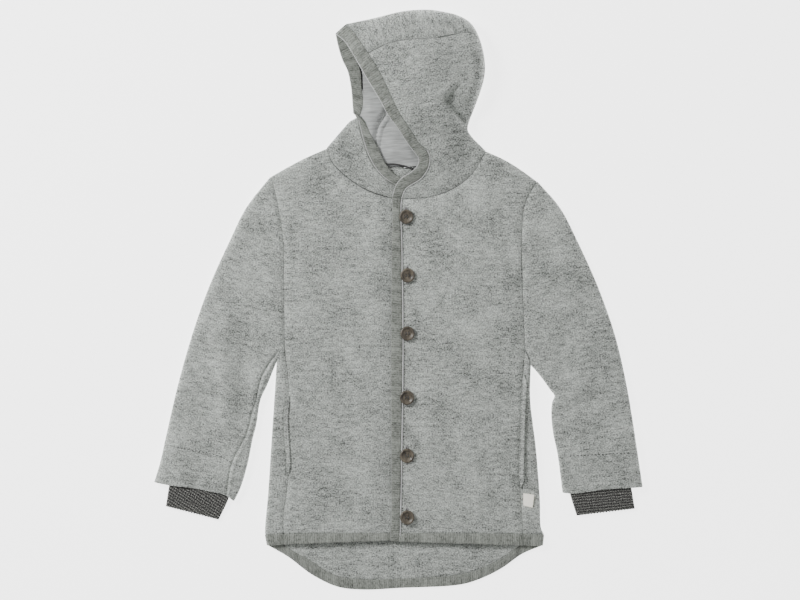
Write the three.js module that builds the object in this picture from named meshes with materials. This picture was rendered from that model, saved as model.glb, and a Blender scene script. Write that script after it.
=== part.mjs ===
// A child's hooded jacket in grey boiled wool, lying flat on its back and seen from above.
// Millimetres. +X is to the viewer's right, +Y towards the hood, +Z up, away from the surface that
// it lies on. The wearer's left front is on the viewer's right and lies over the other one.
//
// Every cloth piece starts as a sheet: the middle surface of the cloth, drawn between measured
// edges. The sheets then get their wall, half outwards and half inwards. Pieces that are sewn
// together share the same edge, and each stops a little short of it.
import * as THREE from 'three';

// Driving sizes
const clothWall = 2.2;
const seamGap = 0.25; // from each piece to the middle of its seam
const bindingWall = 2.6;
const liningWall = 1.0;
const liningClear = 0.4; // between the hood's cloth and its lining
const frontLevel = 6.3; // middle of the cloth of the fronts, which lie on the back
const underLevel = 3.65; // middle of the front that the other one covers
const placketLevel = 6.8; // middle of the front binding, over the covered front
const shoulderLevel = 3.9; // middle of the fronts at the shoulder seams
const foldRun = 4.2; // from a fold's outline to where its cloth lies flat
const shoulderRun = 9;
const rimRun = 15; // the same above the hood's rim
const buttonDiameter = 18;
const buttonHeight = 3.2;
const buttonClear = 0.3;
const cuffWall = 1.2;
const sleeveEndLevel = 7.5; // middle of the sleeve's upper side at its end, over the cuff
const centre = { x: 1.14, y: -0.94 }; // middle of the outline, moved to the origin

// The outline's corners
const neckRight = [-88, 187.5]; // the neck's end at the wearer's right shoulder
const neckLeft = [110, 184];
const tipRight = [-158, 152]; // the wearer's right shoulder tip
const tipLeft = [174, 146];
const seamTopRight = [-141, -58]; // where a side seam meets its armhole
const seamTopLeft = [159, -62];
const armpitRight = [-149.4, -71.5];
const armpitLeft = [165.6, -80];
const hoodTip = [-65, 342]; // the forehead's fold
const foreheadCorner = [-77, 331]; // the same fold at the binding's free edge
const crownCorner = [103, 323.8]; // where the upper seam of the hood's centre strip meets the rim
const faceCorner = [-36.2, 306.2]; // where it meets the binding
const underCorner = [-50.6, 298.8]; // where the strip's lower seam meets the binding
const hemCornerRight = [-162, -307.5];
const hemCornerLeft = [180.5, -307.8];
const placketTop = [3.8, 125];
const underTop = [14, 124];
const flapTip = [-50, 226]; // where the hood's lower side turns over

// Plan lines, each from its first point to its last
const lines = {
  foldRight: [[-164.6, -294], [-165.6, -286], [-162, -246], [-158, -186], [-154, -126], armpitRight],
  foldLeft: [[182, -294], [179.4, -286], [178, -251], [173, -186], [166, -126], armpitLeft],
  sideRight: [[-142, -293], [-142.6, -274], [-136, -217], [-139, -150], [-136, -111], seamTopRight],
  sideLeft: [[157, -293], [153, -230], [154, -154], [156, -110], seamTopLeft],
  armholeRight: [seamTopRight, [-142, 14], [-143, 76], [-150, 121], tipRight],
  armholeLeft: [seamTopLeft, [155.4, 27], [155, 76], [160, 121], tipLeft],
  armpitEdgeRight: [armpitRight, [-146, -65], seamTopRight],
  armpitEdgeLeft: [armpitLeft, [163, -71], seamTopLeft],
  shoulderRight: [tipRight, [-137, 164], [-118, 174], neckRight],
  shoulderLeft: [tipLeft, [149, 164], [132, 174], neckLeft],
  neckRight: [neckRight, [-82, 171], [-59, 149], [-34, 134], [-7, 126], underTop],
  neckLeft: [neckLeft, [93, 156], [72, 139], [41, 127.5], placketTop],
  neckBackRight: [neckRight, [-66, 175], [-41, 167.5], [9.4, 163.8]],
  neckBackLeft: [neckLeft, [84, 173.8], [53, 166.2], [9.4, 163.8]],
  placket: [[2, -292.5], [2.5, -276], [5.6, -64], [4.4, 49], [3, 112], placketTop],
  placketEdge: [[-8.5, -292.5], [-7.5, -276], [-8, -64], [-7, 61], [-6.4, 112], [-6.4, 127]],
  under: [[12, -292.5], [12, -64], [12, 61], underTop],
  underEdge: [[24, -292.5], [24, -64], [24, 61], [24.5, 120]],
  hemRight: [[-142, -293], [-70, -292.5], [12, -292.5]],
  hemLeft: [[157, -293], [80, -292.5], [2, -292.5]],
  hemEdgeRight: [[-142, -306.4], [-62, -303.4], [-8, -302], [12, -302]],
  hemEdgeLeft: [[157, -307.5], [67, -305], [2, -303]],
  hemBack: [[-164.6, -294], [-129.5, -315.6], [-109, -327], [-80, -344.5], [-45, -350.5], [8, -349.5],
    [79, -344], [105, -336.5], [131, -323.5], [147, -312], [182, -294]],
  hemEdgeBack: [[-162, -307.5], [-137.6, -321.3], [-106.4, -344.5], [-74.4, -359.5], [-43, -363],
    [3, -361], [79.4, -356.6], [105, -348.8], [130.6, -336], [155.6, -318.4], [180.5, -307.8]],
};

const hoodLines = {
  rim: [hoodTip, [-32, 350], [8, 359.4], [38, 361.2], [53, 359.4], [76, 353.8], [92, 343.8], crownCorner,
    [109.4, 294], [108, 274], [95, 235], [88.6, 219], [88, 211], [93, 203], neckLeft],
  faceTop: [hoodTip, [-55, 333.8], [-47, 322], faceCorner],
  face: [faceCorner, [-18, 275], [-6.4, 250], [3.6, 230], [17, 210], [25.4, 196.2], [35.6, 185],
    [39.4, 176.2], [37, 163], [28.8, 151.2], [19.4, 145], [9.4, 138], placketTop],
  faceUnderTop: [hoodTip, [-57, 316.2], underCorner],
  faceUnder: [underCorner, [-45.6, 282.5], [-44.4, 261], [-42.4, 246], [-44.4, 235], flapTip],
  upperSeam: [faceCorner, [-12, 318], [13, 322.5], [53, 325], [84.4, 331.2], [95, 329.5], crownCorner],
  lowerSeam: [underCorner, [-30.6, 307.5], [-5.6, 312.5], [12, 311], [24.4, 306], [33, 294],
    [33, 267.5], [28, 234], [18, 199], [9.4, 163.8]],
  collarFold: [flapTip, [-59.4, 222], [-67, 213.8], [-75.6, 203.8], neckRight],
  flapFace: [flapTip, [-45.6, 206], [-38.8, 184], [-29.4, 165], [-17, 150.5], [-2.5, 141], [7, 131], underTop],
  edge: [[-6.4, 127.5], [-2.5, 140], [4.4, 150], [17, 158], [25, 166], [27, 174.4], [23.8, 179.6],
    [12, 195], [1.2, 212], [-12, 230], [-23, 250], [-37.5, 274], [-57.5, 309], [-66, 322], [-77, 331]],
  edgeUnder: [[-77, 331], [-73.6, 315], [-68, 297.5], [-62, 285], [-57.5, 262.5], [-56, 245], [-55, 233]],
  flapEdge: [[-40, 219], [-34.4, 207.5], [-24.4, 189], [-15.6, 170], [-8, 159.4], [4, 151], [14.4, 142], [24, 126]],
};

const sleeveLines = {
  right: {
    outer: [tipRight, [-189, 114], [-209, 74], [-236, 14], [-257, -46], [-274, -106], [-288, -166],
      [-297, -206], [-303, -229]],
    inner: [armpitRight, [-162, -106], [-171, -126], [-176, -156], [-181, -176], [-187, -206],
      [-196, -236], [-205, -252]],
    cuff: { outerTop: [-279, -200], outerEnd: [-289, -259], innerTop: [-204, -218], innerEnd: [-224, -275.5] },
  },
  left: {
    outer: [tipLeft, [203, 114], [224, 74], [251, 14], [272, -46], [286, -106], [293, -146], [299, -186],
      [305.2, -235]],
    inner: [armpitLeft, [178, -96], [191, -114], [196, -121], [193, -129], [192, -146], [194, -166],
      [200, -196], [207, -242]],
    cuff: { outerTop: [286, -204], outerEnd: [296, -262], innerTop: [213, -210], innerEnd: [224.4, -270.5] },
  },
};

// Heights of the hood's upper side above the surface, blended softly between these places
const hoodHeights = [
  { place: 'forehead fold', x: -65, y: 342, z: 8 },
  { place: 'face edge, top', x: -30, y: 296, z: 19 },
  { place: 'face edge, middle', x: -6, y: 250, z: 21 },
  { place: 'face edge, low', x: 20, y: 206, z: 17 },
  { place: 'face edge, throat', x: 38, y: 170, z: 10 },
  { place: 'front strip', x: 20, y: 340, z: 20 },
  { place: 'crown', x: 80, y: 325, z: 24 },
  { place: 'side, upper', x: 35, y: 290, z: 33 },
  { place: 'side, lower', x: 45, y: 240, z: 30 },
  { place: 'back', x: 92, y: 275, z: 24 },
  { place: 'collar back', x: 85, y: 200, z: 13 },
  { place: 'collar side', x: 60, y: 165, z: 10 },
];
const hoodBlend = 26; // reach of each place
const collarRise = 42; // over this run the hood comes down to its neck seam
// The collar bulges over the hood's back along a crease
const crease = { from: [50, 256], to: [84, 218], bulge: 4, pit: 4, bulgeRun: 9, pitRun: 6 };

// Soft folds in the fronts and sleeves: a ridge, or a trough where the height is below zero
const softFolds = [
  { where: 'right front, off the armhole', from: [-132, 60], to: [-90, -40], width: 26, height: 0.7 },
  { where: 'right front, low', from: [-105, -180], to: [-80, -270], width: 24, height: 0.6 },
  { where: 'left front, off the armhole', from: [140, 40], to: [105, -60], width: 26, height: 0.7 },
  { where: 'left front, low', from: [115, -150], to: [90, -260], width: 24, height: 0.6 },
  { where: 'right sleeve, elbow', from: [-178, -60], to: [-235, -90], width: 16, height: 0.7 },
  { where: 'right sleeve, upper', from: [-165, 60], to: [-205, 0], width: 20, height: 0.6 },
  { where: 'left sleeve, elbow', from: [200, -118], to: [245, -104], width: 12, height: 0.8 },
  { where: 'left sleeve, upper', from: [172, 50], to: [215, -20], width: 20, height: 0.6 },
];

// Plan geometry
const clamp = (value, low = 0, high = 1) => Math.min(Math.max(value, low), high);
const mix = (a, b, t) => a + (b - a) * t;
const smooth = (t) => clamp(t) ** 2 * (3 - 2 * clamp(t));
const quarterRound = (t) => Math.sqrt(1 - (1 - clamp(t)) ** 2);
const steps = (count) => Array.from({ length: count + 1 }, (_, i) => i / count);
const flat = ([x, y], z = 0) => new THREE.Vector3(x, y, z);

// A smooth line through the points, read by its share of the length
function line(points) {
  const spline = new THREE.CatmullRomCurve3(points.map((p) => flat(p)), false, 'centripetal');
  spline.arcLengthDivisions = 400;
  return (t) => spline.getPointAt(clamp(t));
}

// Lines one after another, each taking its share of the whole
function chain(...parts) {
  const total = parts.reduce((sum, [, share]) => sum + share, 0);
  return (t) => {
    let left = clamp(t) * total;
    for (const [piece, share] of parts.slice(0, -1)) {
      if (left <= share) return piece(left / share);
      left -= share;
    }
    const [last, share] = parts.at(-1);
    return last(clamp(left / share));
  };
}

const reversed = (curve) => (t) => curve(1 - t);
const stretch = (curve, from, to) => (t) => curve(mix(from, to, t));

// The patch between four lines: near and far run with v, first and last with u
function patch(near, far, first, last) {
  const corners = [first(0), first(1), last(0), last(1)];
  return (u, v) => {
    const across = near(v).multiplyScalar(1 - u).addScaledVector(far(v), u);
    const along = first(u).multiplyScalar(1 - v).addScaledVector(last(u), v);
    const weights = [(1 - u) * (1 - v), u * (1 - v), (1 - u) * v, u * v];
    corners.forEach((corner, i) => along.addScaledVector(corner, -weights[i]));
    return across.add(along);
  };
}

const sampled = (curve, count = 120) => steps(count).map((t) => curve(t));

// Distance in plan from a place to a sampled line; what lies on the true line counts as 0
const onLine = 0.1;
function distanceTo(samples, place) {
  let best = Infinity;
  for (let i = 1; i < samples.length; i += 1) {
    const [a, b] = [samples[i - 1], samples[i]];
    const [dx, dy] = [b.x - a.x, b.y - a.y];
    const share = clamp(((place.x - a.x) * dx + (place.y - a.y) * dy) / (dx * dx + dy * dy || 1));
    best = Math.min(best, Math.hypot(a.x + dx * share - place.x, a.y + dy * share - place.y));
  }
  return Math.max(best - onLine, 0);
}

// Share of a line's length where it passes closest to a point
function shareNear(curve, [x, y]) {
  const shares = steps(400);
  const gaps = shares.map((t) => Math.hypot(curve(t).x - x, curve(t).y - y));
  return shares[gaps.indexOf(Math.min(...gaps))];
}

// Sheets: points and triangles of the middle surface, seen from the cloth's outer side
function grid(us, vs, place, outwardUp = true) {
  const points = vs.flatMap((v) => us.map((u) => place(u, v)));
  const faces = [];
  for (let j = 0; j + 1 < vs.length; j += 1) {
    for (let i = 0; i + 1 < us.length; i += 1) {
      const a = j * us.length + i;
      const [b, c, d] = [a + 1, a + us.length + 1, a + us.length];
      faces.push(...(outwardUp ? [[a, b, c], [a, c, d]] : [[a, c, b], [a, d, c]]));
    }
  }
  return { points, faces, columns: us.length };
}

// The cells of a grid that are kept, by column and row; each cell is two triangles
function keepCells({ points, faces, columns }, keep) {
  const kept = faces.filter((_, f) => {
    const cell = Math.floor(f / 2);
    return keep(cell % (columns - 1), Math.floor(cell / (columns - 1)));
  });
  const used = [...new Set(kept.flat())];
  const names = new Map(used.map((old, fresh) => [old, fresh]));
  return { points: used.map((old) => points[old]), faces: kept.map((face) => face.map((i) => names.get(i))) };
}

const samePlace = 0.02;
const nearestIn = (points, place) => points.findIndex((other) => other.distanceTo(place) < samePlace);

// One sheet from several grids: points in the same place become one
function join(...sheets) {
  const points = [];
  const faces = [];
  for (const sheet of sheets) {
    const names = sheet.points.map((point) => {
      const known = nearestIn(points, point);
      if (known >= 0) return known;
      points.push(point.clone());
      return points.length - 1;
    });
    for (const face of sheet.faces) {
      const [a, b, c] = face.map((i) => names[i]);
      if (a !== b && b !== c && c !== a) faces.push([a, b, c]);
    }
  }
  return { points, faces };
}

function normalsOf({ points, faces }) {
  const normals = points.map(() => new THREE.Vector3());
  for (const face of faces) {
    const [a, b, c] = face.map((i) => points[i]);
    const tilt = b.clone().sub(a).cross(c.clone().sub(a)).normalize();
    face.forEach((name, k) => {
      const here = points[name];
      const next = points[face[(k + 1) % 3]].clone().sub(here);
      const last = points[face[(k + 2) % 3]].clone().sub(here);
      normals[name].addScaledVector(tilt, next.angleTo(last));
    });
  }
  return normals.map((normal) => normal.normalize());
}

// Edges with cloth on one side only, the cloth on their left hand
function borderOf({ faces }) {
  const edges = new Map();
  for (const [a, b, c] of faces) {
    for (const [from, to] of [[a, b], [b, c], [c, a]]) {
      if (!edges.delete(`${to}-${from}`)) edges.set(`${from}-${to}`, [from, to]);
    }
  }
  return [...edges.values()];
}

// Seams open a little more where the cloth turns tightly beside them
const tightPlaces = [armpitRight, armpitLeft, crownCorner, [88, 213], [88, 224]];
const tight = { extra: 1, reach: 11 };
function seamGapAt(point) {
  const near = tightPlaces.map(([x, y]) => Math.hypot(point.x - x, point.y - y) / tight.reach);
  return seamGap + tight.extra * Math.exp(-(Math.min(...near) ** 2));
}

// The sheet with its border moved into the cloth by a gap
function drawnIn({ points, faces, normals }, gapAt) {
  const pulls = new Map();
  for (const [from, to] of borderOf({ faces })) {
    const along = points[to].clone().sub(points[from]).normalize();
    for (const name of [from, to]) {
      const inward = normals[name].clone().cross(along).normalize();
      pulls.set(name, (pulls.get(name) ?? new THREE.Vector3()).add(inward));
    }
  }
  const moved = points.map((point, name) => {
    const pull = pulls.get(name);
    if (!pull) return point.clone();
    const here = gapAt(point);
    return point.clone().addScaledVector(pull, Math.min((2 * here) / pull.lengthSq(), here));
  });
  return { points: moved, faces, normals };
}

// The closed wall of a sheet: outward and inward give each point's distances along its normal
function wall({ points, faces, normals }, outward, inward) {
  const count = points.length;
  const moved = (distance) => points.map((p, name) => {
    const face = p.clone().addScaledVector(normals[name], distance(name));
    return face.setZ(Math.max(face.z, 0));
  });
  const index = [];
  for (const [a, b, c] of faces) index.push(a, b, c, a + count, c + count, b + count);
  for (const [from, to] of borderOf({ faces })) {
    index.push(to, from, from + count, to, from + count, to + count);
  }
  const geometry = new THREE.BufferGeometry().setFromPoints([...moved(outward), ...moved(inward)]);
  geometry.setIndex(index);
  geometry.computeVertexNormals();
  return geometry;
}

// Sheets that meet at a seam lean the same way there, so that their edges stay parallel
function shareNormals(sheets) {
  const whole = join(...sheets);
  const normals = normalsOf(whole);
  for (const sheet of sheets) sheet.normals = sheet.points.map((point) => normals[nearestIn(whole.points, point)]);
}

const backLevel = clothWall / 2;

// The outlines are of the cloth's outer face. Its middle lies half a wall inside them, on the right
// of the line where side is 1; the shared corners stay.
function middleOf(points, side) {
  return points.map(([x, y], i) => {
    if (i === 0 || i === points.length - 1) return [x, y];
    const along = flat(points[i + 1]).sub(flat(points[i - 1])).normalize();
    return [x + (along.y * side * clothWall) / 2, y - (along.x * side * clothWall) / 2];
  });
}

for (const [name, side] of [['foldRight', 1], ['foldLeft', -1]]) lines[name] = middleOf(lines[name], side);
for (const [name, side] of [['rim', 1], ['collarFold', -1]]) hoodLines[name] = middleOf(hoodLines[name], side);

// The crown's upper seam ends on the rim's middle line
const rimLine = line(hoodLines.rim);
const crownShare = shareNear(rimLine, crownCorner);
const crownEnd = rimLine(crownShare).toArray().slice(0, 2);
hoodLines.upperSeam.splice(-1, 1, crownEnd);

for (const [name, side] of [['right', -1], ['left', 1]]) {
  sleeveLines[name].outer = middleOf(sleeveLines[name].outer, side);
  sleeveLines[name].inner = middleOf(sleeveLines[name].inner, -side);
}

const L = Object.fromEntries(Object.entries(lines).map(([name, points]) => [name, line(points)]));
const H = Object.fromEntries(Object.entries(hoodLines).map(([name, points]) => [name, line(points)]));

// Heights of the middle surfaces
function foldsAt(place) {
  let sum = 0;
  for (const { from, to, width, height } of softFolds) {
    sum += height * Math.exp(-((distanceTo([flat(from), flat(to)], place) / width) ** 2));
  }
  return sum;
}

const shoulders = [sampled(L.shoulderRight, 40), sampled(L.shoulderLeft, 40)];
const necks = { right: sampled(L.neckRight, 60), left: sampled(L.neckLeft, 60) };

// The fronts: level, with soft folds that die out at seams, and rounded down to the shoulder seams
function frontHeight(place, level) {
  const shoulder = Math.min(...shoulders.map((samples) => distanceTo(samples, place)));
  const top = level + foldsAt(place) * smooth(shoulder / 30);
  return mix(shoulderLevel, top, quarterRound(shoulder / shoulderRun));
}

// The covered front slopes down to where the other one lies over it
const coveredRamp = { from: -26, run: 20, lean: 0.35 };
function coveredLevel({ x, y }) {
  const start = coveredRamp.from + coveredRamp.lean * Math.max(y - placketTop[1], 0);
  return mix(frontLevel, underLevel, smooth((x - start) / coveredRamp.run));
}

const rimSamples = [flat(foreheadCorner), ...sampled(H.rim, 160)];
const collarSamples = sampled(H.collarFold, 40);

// Half the height of a fold between the back's level and the level above it
const foldMiddle = (level) => (level + backLevel) / 2;

// Height of the hood's outline: low at the neck, higher where the hood is full
const rimTop = 6.5;
const rimRise = 110; // over this run above the neck
const rimHeight = ({ y }) => mix(foldMiddle(frontLevel), rimTop, smooth((y - neckLeft[1]) / rimRise));

function creaseAt(place) {
  const [a, b] = [flat(crease.from), flat(crease.to)];
  const along = b.clone().sub(a);
  const length = along.length();
  along.normalize();
  const offset = new THREE.Vector3(place.x - a.x, place.y - a.y, 0);
  const share = offset.dot(along) / length;
  const side = offset.dot(new THREE.Vector3(-along.y, along.x, 0));
  const fade = smooth((share + 0.5) / 0.6) * smooth((1.15 - share) / 0.4);
  const bulge = crease.bulge * Math.exp(-(((side + crease.bulgeRun) / crease.bulgeRun) ** 2));
  const pit = crease.pit * Math.exp(-(((side - crease.pitRun / 2) / crease.pitRun) ** 2));
  return fade * (bulge - pit);
}

function hoodHeight(place) {
  let [sum, weights] = [0, 1e-9];
  for (const { x, y, z } of hoodHeights) {
    const weight = Math.exp(-((place.x - x) ** 2 + (place.y - y) ** 2) / (2 * hoodBlend ** 2));
    sum += z * weight;
    weights += weight;
  }
  const neck = distanceTo(necks.left, place);
  const top = mix(frontLevel, sum / weights + creaseAt(place), smooth(neck / collarRise));
  return mix(rimHeight(place), top, quarterRound(distanceTo(rimSamples, place) / rimRun));
}

// The hood's lower side lies flat and turns up at the rim and at the collar's fold
function hoodUnderHeight(place) {
  const rim = 1 - quarterRound(distanceTo(rimSamples, place) / foldRun);
  const collar = 1 - quarterRound(distanceTo(collarSamples, place) / foldRun);
  return backLevel + (rimHeight(place) - backLevel) * rim + (foldMiddle(frontLevel) - backLevel) * collar;
}

function flapHeight(place) {
  const fold = quarterRound(distanceTo(collarSamples, place) / shoulderRun);
  return mix(foldMiddle(frontLevel), coveredLevel(place), fold);
}

// The back under the fronts, and its wraps over them
const sideOutlines = [
  [flat(hemCornerRight), ...sampled(L.foldRight, 60)],
  [flat(hemCornerLeft), ...sampled(L.foldLeft, 60)],
];
const sideRound = (place) => quarterRound(Math.min(...sideOutlines.map((s) => distanceTo(s, place))) / foldRun);
const backHeight = (place) => mix(foldMiddle(frontLevel), backLevel, sideRound(place));
const wrapHeight = (place) => mix(foldMiddle(frontLevel), frontLevel, sideRound(place));

// A row's stations: close together over its near and far runs, where the cloth turns, even between
const turn = [0, 0.25, 1];
function stationsOver(width, { near = 0, far = 0, even }) {
  const fit = Math.min(1, (0.7 * width) / (near + far || 1));
  const [start, end] = [(near * fit) / width, 1 - (far * fit) / width];
  const middle = steps(even).map((t) => mix(start, end, t));
  const opening = near ? turn.slice(0, -1).map((t) => t * start) : [];
  const closing = far ? turn.slice(0, -1).map((t) => 1 - t * (1 - end)).reverse() : [];
  return [...opening, ...middle, ...closing];
}

// A patch as a grid, its rows at vs and its columns spaced by the row's own width. A last row
// that meets other pieces can bring their columns.
function spreadGrid({ near, far, first, last, lastRow }, spacing, vs, height, outwardUp) {
  const plan = patch(near, far, first, last);
  const rows = vs.map((v) => stationsOver(Math.max(near(v).distanceTo(far(v)), 1), spacing));
  if (lastRow) rows[vs.length - 1] = lastRow;
  const us = rows[0].map((_, i) => i);
  const js = vs.map((_, j) => j);
  return grid(us, js, (i, j) => {
    const point = plan(rows[j][i], vs[j]);
    point.z = height(point);
    return point;
  }, outwardUp);
}

const group = new THREE.Group();
group.position.set(-centre.x, -centre.y, 0);

const finishes = {
  wool: { color: 0x9fa29e, roughness: 0.95, metalness: 0 },
  lining: { color: 0xa9aba9, roughness: 0.95, metalness: 0 },
  binding: { color: 0x84867f, roughness: 0.95, metalness: 0 },
  rib: { color: 0x5a5b56, roughness: 0.95, metalness: 0 },
  horn: { color: 0x5c564d, roughness: 0.4, metalness: 0 },
  label: { color: 0xdbd5c4, roughness: 0.8, metalness: 0 },
};

function addPiece(name, geometry, finish) {
  const mesh = new THREE.Mesh(geometry, new THREE.MeshStandardMaterial(finishes[finish]));
  mesh.name = name;
  group.add(mesh);
  return mesh;
}

// Cloth pieces wait here until all are drawn, because those that meet share their normals
const cloths = [];
function addCloth(name, sheet, finish = 'wool', half = () => clothWall / 2) {
  cloths.push({ name, sheet, finish, half });
}

function addWalls() {
  shareNormals(cloths.map(({ sheet }) => sheet));
  for (const { name, sheet, finish, half } of cloths) {
    addPiece(name, wall(drawnIn(sheet, seamGapAt), half, (i) => -half(i)), finish);
  }
}

const rimFront = stretch(H.rim, 0, crownShare);
const rimBack = stretch(H.rim, crownShare, 1);
const at = (place) => () => flat(place);

// Stations along the hood, shared by the pieces on both sides of each seam
const hoodRow = { near: rimRun, even: 6 };
const crownUnderRow = { near: foldRun, even: 3 };
const underRow = { near: foldRun, even: 4 };
const hoodRows = steps(11);
const crownRow = stationsOver(flat(crownEnd).distanceTo(flat(faceCorner)), hoodRow);
const crownRows = crownRow.map((u) => 1 - u).reverse();
const underRows = [
  ...crownRows.map((v) => v * crownShare),
  ...hoodRows.slice(1).map((v) => mix(crownShare, 1, v)),
];
const flapStart = underRows.reduce((best, v) => (Math.abs(v - 0.62) < Math.abs(best - 0.62) ? v : best));
const flapRows = underRows.filter((v) => v >= flapStart).map((v) => (v - flapStart) / (1 - flapStart));
const neckRow = stationsOver(flat(neckLeft).distanceTo(flat(placketTop)), hoodRow);
const flapRow = { near: shoulderRun, even: 6 };
const flapNeckRow = stationsOver(flat(neckRight).distanceTo(flat(underTop)), flapRow);

const hoodGrids = {
  side: spreadGrid({
    near: rimBack, far: H.face, first: reversed(H.upperSeam), last: L.neckLeft,
  }, hoodRow, hoodRows, hoodHeight, true),
  crown: spreadGrid({
    near: rimFront, far: H.upperSeam, first: H.faceTop, last: at(crownEnd),
  }, { near: rimRun, even: 2 }, crownRows, hoodHeight, true),
  crownUnder: spreadGrid({
    near: H.rim, far: H.lowerSeam, first: H.faceUnderTop, last: L.neckBackLeft,
  }, crownUnderRow, underRows, hoodUnderHeight, false),
  under: spreadGrid({
    near: chain([H.faceUnder, flapStart], [H.collarFold, 1 - flapStart]),
    far: H.lowerSeam, first: at(underCorner), last: L.neckBackRight,
  }, underRow, underRows, hoodUnderHeight, true),
  flap: spreadGrid({
    near: H.collarFold, far: H.flapFace, first: at(flapTip), last: L.neckRight,
  }, flapRow, flapRows, flapHeight, false),
};

// The lining follows the hood's inner face. It stops short of the tight turns: at the crown's
// corner, below the throat and at the collar's fold.
const throatRow = 5;
const liningInset = 1;
function addLining() {
  const { side, crown, crownUnder, under, flap } = hoodGrids;
  const crownRow = crownRows.length - 1;
  const flapRowStart = underRows.indexOf(flapStart) - 2;
  const offTurn = (column) => column >= turn.length;
  const byRim = (row) => row < crownRow - 4 || (row > crownRow + 1 && row < crownRow + throatRow);
  const sheet = join(
    keepCells(side, (column, row) => row < throatRow && (row > 1 || offTurn(column))),
    keepCells(crown, (column, row) => row < crownRow - 4 || (row < crownRow - 3 && offTurn(column))),
    keepCells(crownUnder, (column, row) => byRim(row) || offTurn(column)),
    keepCells(under, (column, row) => row < flapRowStart || offTurn(column)),
  );
  const whole = join(side, crown, crownUnder, under, flap);
  const normals = normalsOf(whole);
  sheet.normals = sheet.points.map((point) => normals[nearestIn(whole.points, point)]);
  const inner = clothWall / 2 + liningClear;
  const inset = drawnIn(sheet, () => liningInset);
  addPiece('hood_lining', wall(inset, () => -inner, () => -inner - liningWall), 'lining');
}

function addHood() {
  const { side, crown, crownUnder, under, flap } = hoodGrids;
  addCloth('hood_side_left', side);
  addCloth('hood_centre', join(crown, crownUnder));
  addCloth('hood_side_right', join(under, flap));
  addLining();
}

// Stations along the body, shared by the pieces on both sides of each seam. The side seam takes
// its share; on the back the armhole starts with the wrap's short edge at the armpit.
const sideShare = 0.52;
const armpitShare = 0.06;
const wrapRow = { near: foldRun, even: 1 };
const sideSteps = steps(8);
const armholeSteps = stationsOver(flat(seamTopRight).distanceTo(flat(tipRight)), { far: shoulderRun, even: 5 });
const armpitSteps = stationsOver(flat(armpitRight).distanceTo(flat(seamTopRight)), wrapRow);
const bodyRows = [
  ...sideSteps.map((t) => t * sideShare),
  ...armholeSteps.slice(1).map((t) => mix(sideShare, 1, t)),
];
const backRows = [
  ...sideSteps.map((t) => t * sideShare),
  ...armpitSteps.slice(1).map((t) => sideShare + armpitShare * t),
  ...armholeSteps.slice(1).map((t) => mix(sideShare + armpitShare, 1, t)),
];
const shoulderPart = 0.36; // share of a front's upper edge that is its shoulder seam
const shoulderSteps = steps(4).slice(1);

// A front's sheet, its columns from the side (u = 0) to the centre edge (u = 1)
function frontGrid({ centreLine, side, armhole, neck, shoulder, hem, neckShares }, height, outwardUp) {
  const outer = chain([side, sideShare], [armhole, 1 - sideShare]);
  const top = chain([shoulder, shoulderPart], [neck, 1 - shoulderPart]);
  const plan = patch(outer, centreLine, hem, top);
  const columns = [
    0,
    ...shoulderSteps.map((t) => t * shoulderPart),
    ...neckShares.slice(1).map((t) => mix(shoulderPart, 1, t)),
  ];
  const place = (u, v) => {
    const point = plan(u, v);
    point.z = height(point);
    return point;
  };
  return grid(columns, bodyRows, place, outwardUp);
}

const coveredHeight = (place) => frontHeight(place, coveredLevel(place));
const coveringHeight = (place) => frontHeight(place, frontLevel);

const fronts = {
  right: frontGrid({
    centreLine: L.under, side: L.sideRight, armhole: L.armholeRight, neck: L.neckRight,
    shoulder: L.shoulderRight, hem: L.hemRight, neckShares: flapNeckRow,
  }, coveredHeight, true),
  left: frontGrid({
    centreLine: L.placket, side: L.sideLeft, armhole: L.armholeLeft, neck: L.neckLeft,
    shoulder: L.shoulderLeft, hem: L.hemLeft, neckShares: neckRow,
  }, coveringHeight, false),
};

// The back: one sheet under the fronts, with a wrap round each side up to the side seam
const backShoulder = 0.21; // share of the back's upper edge that is one shoulder seam
const backNeck = 0.5 - backShoulder;
const wrapHem = (outline, seam) => (u) => outline(0).lerp(seam(0), u);
const backSide = (fold, armpitEdge, armhole) => chain(
  [fold, sideShare],
  [armpitEdge, armpitShare],
  [armhole, 1 - sideShare - armpitShare],
);
const neckBackRow = (row, end) => stationsOver(flat(end).distanceTo(flat(lines.neckBackRight.at(-1))), row);
const backTopRow = [
  ...steps(3).map((t) => t * backShoulder),
  ...neckBackRow(underRow, neckRight).slice(1).map((t) => backShoulder + backNeck * t),
  ...neckBackRow(crownUnderRow, neckLeft).reverse().slice(1).map((t) => 1 - backShoulder - backNeck * t),
  ...steps(3).slice(1).map((t) => 1 - backShoulder * (1 - t)),
];
const backGrids = {
  under: spreadGrid({
    near: backSide(L.foldRight, L.armpitEdgeRight, L.armholeRight),
    far: backSide(L.foldLeft, L.armpitEdgeLeft, L.armholeLeft),
    first: L.hemBack,
    last: chain(
      [L.shoulderRight, backShoulder],
      [L.neckBackRight, backNeck],
      [reversed(L.neckBackLeft), backNeck],
      [reversed(L.shoulderLeft), backShoulder],
    ),
    lastRow: backTopRow,
  }, { near: foldRun, far: foldRun, even: backTopRow.length + 1 - 2 * turn.length }, backRows, backHeight, false),
  wrapRight: spreadGrid({
    near: L.foldRight, far: L.sideRight, first: wrapHem(L.foldRight, L.sideRight), last: L.armpitEdgeRight,
    lastRow: armpitSteps,
  }, wrapRow, sideSteps, wrapHeight, true),
  wrapLeft: spreadGrid({
    near: L.foldLeft, far: L.sideLeft, first: wrapHem(L.foldLeft, L.sideLeft), last: L.armpitEdgeLeft,
    lastRow: armpitSteps,
  }, wrapRow, sideSteps, wrapHeight, false),
};

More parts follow.
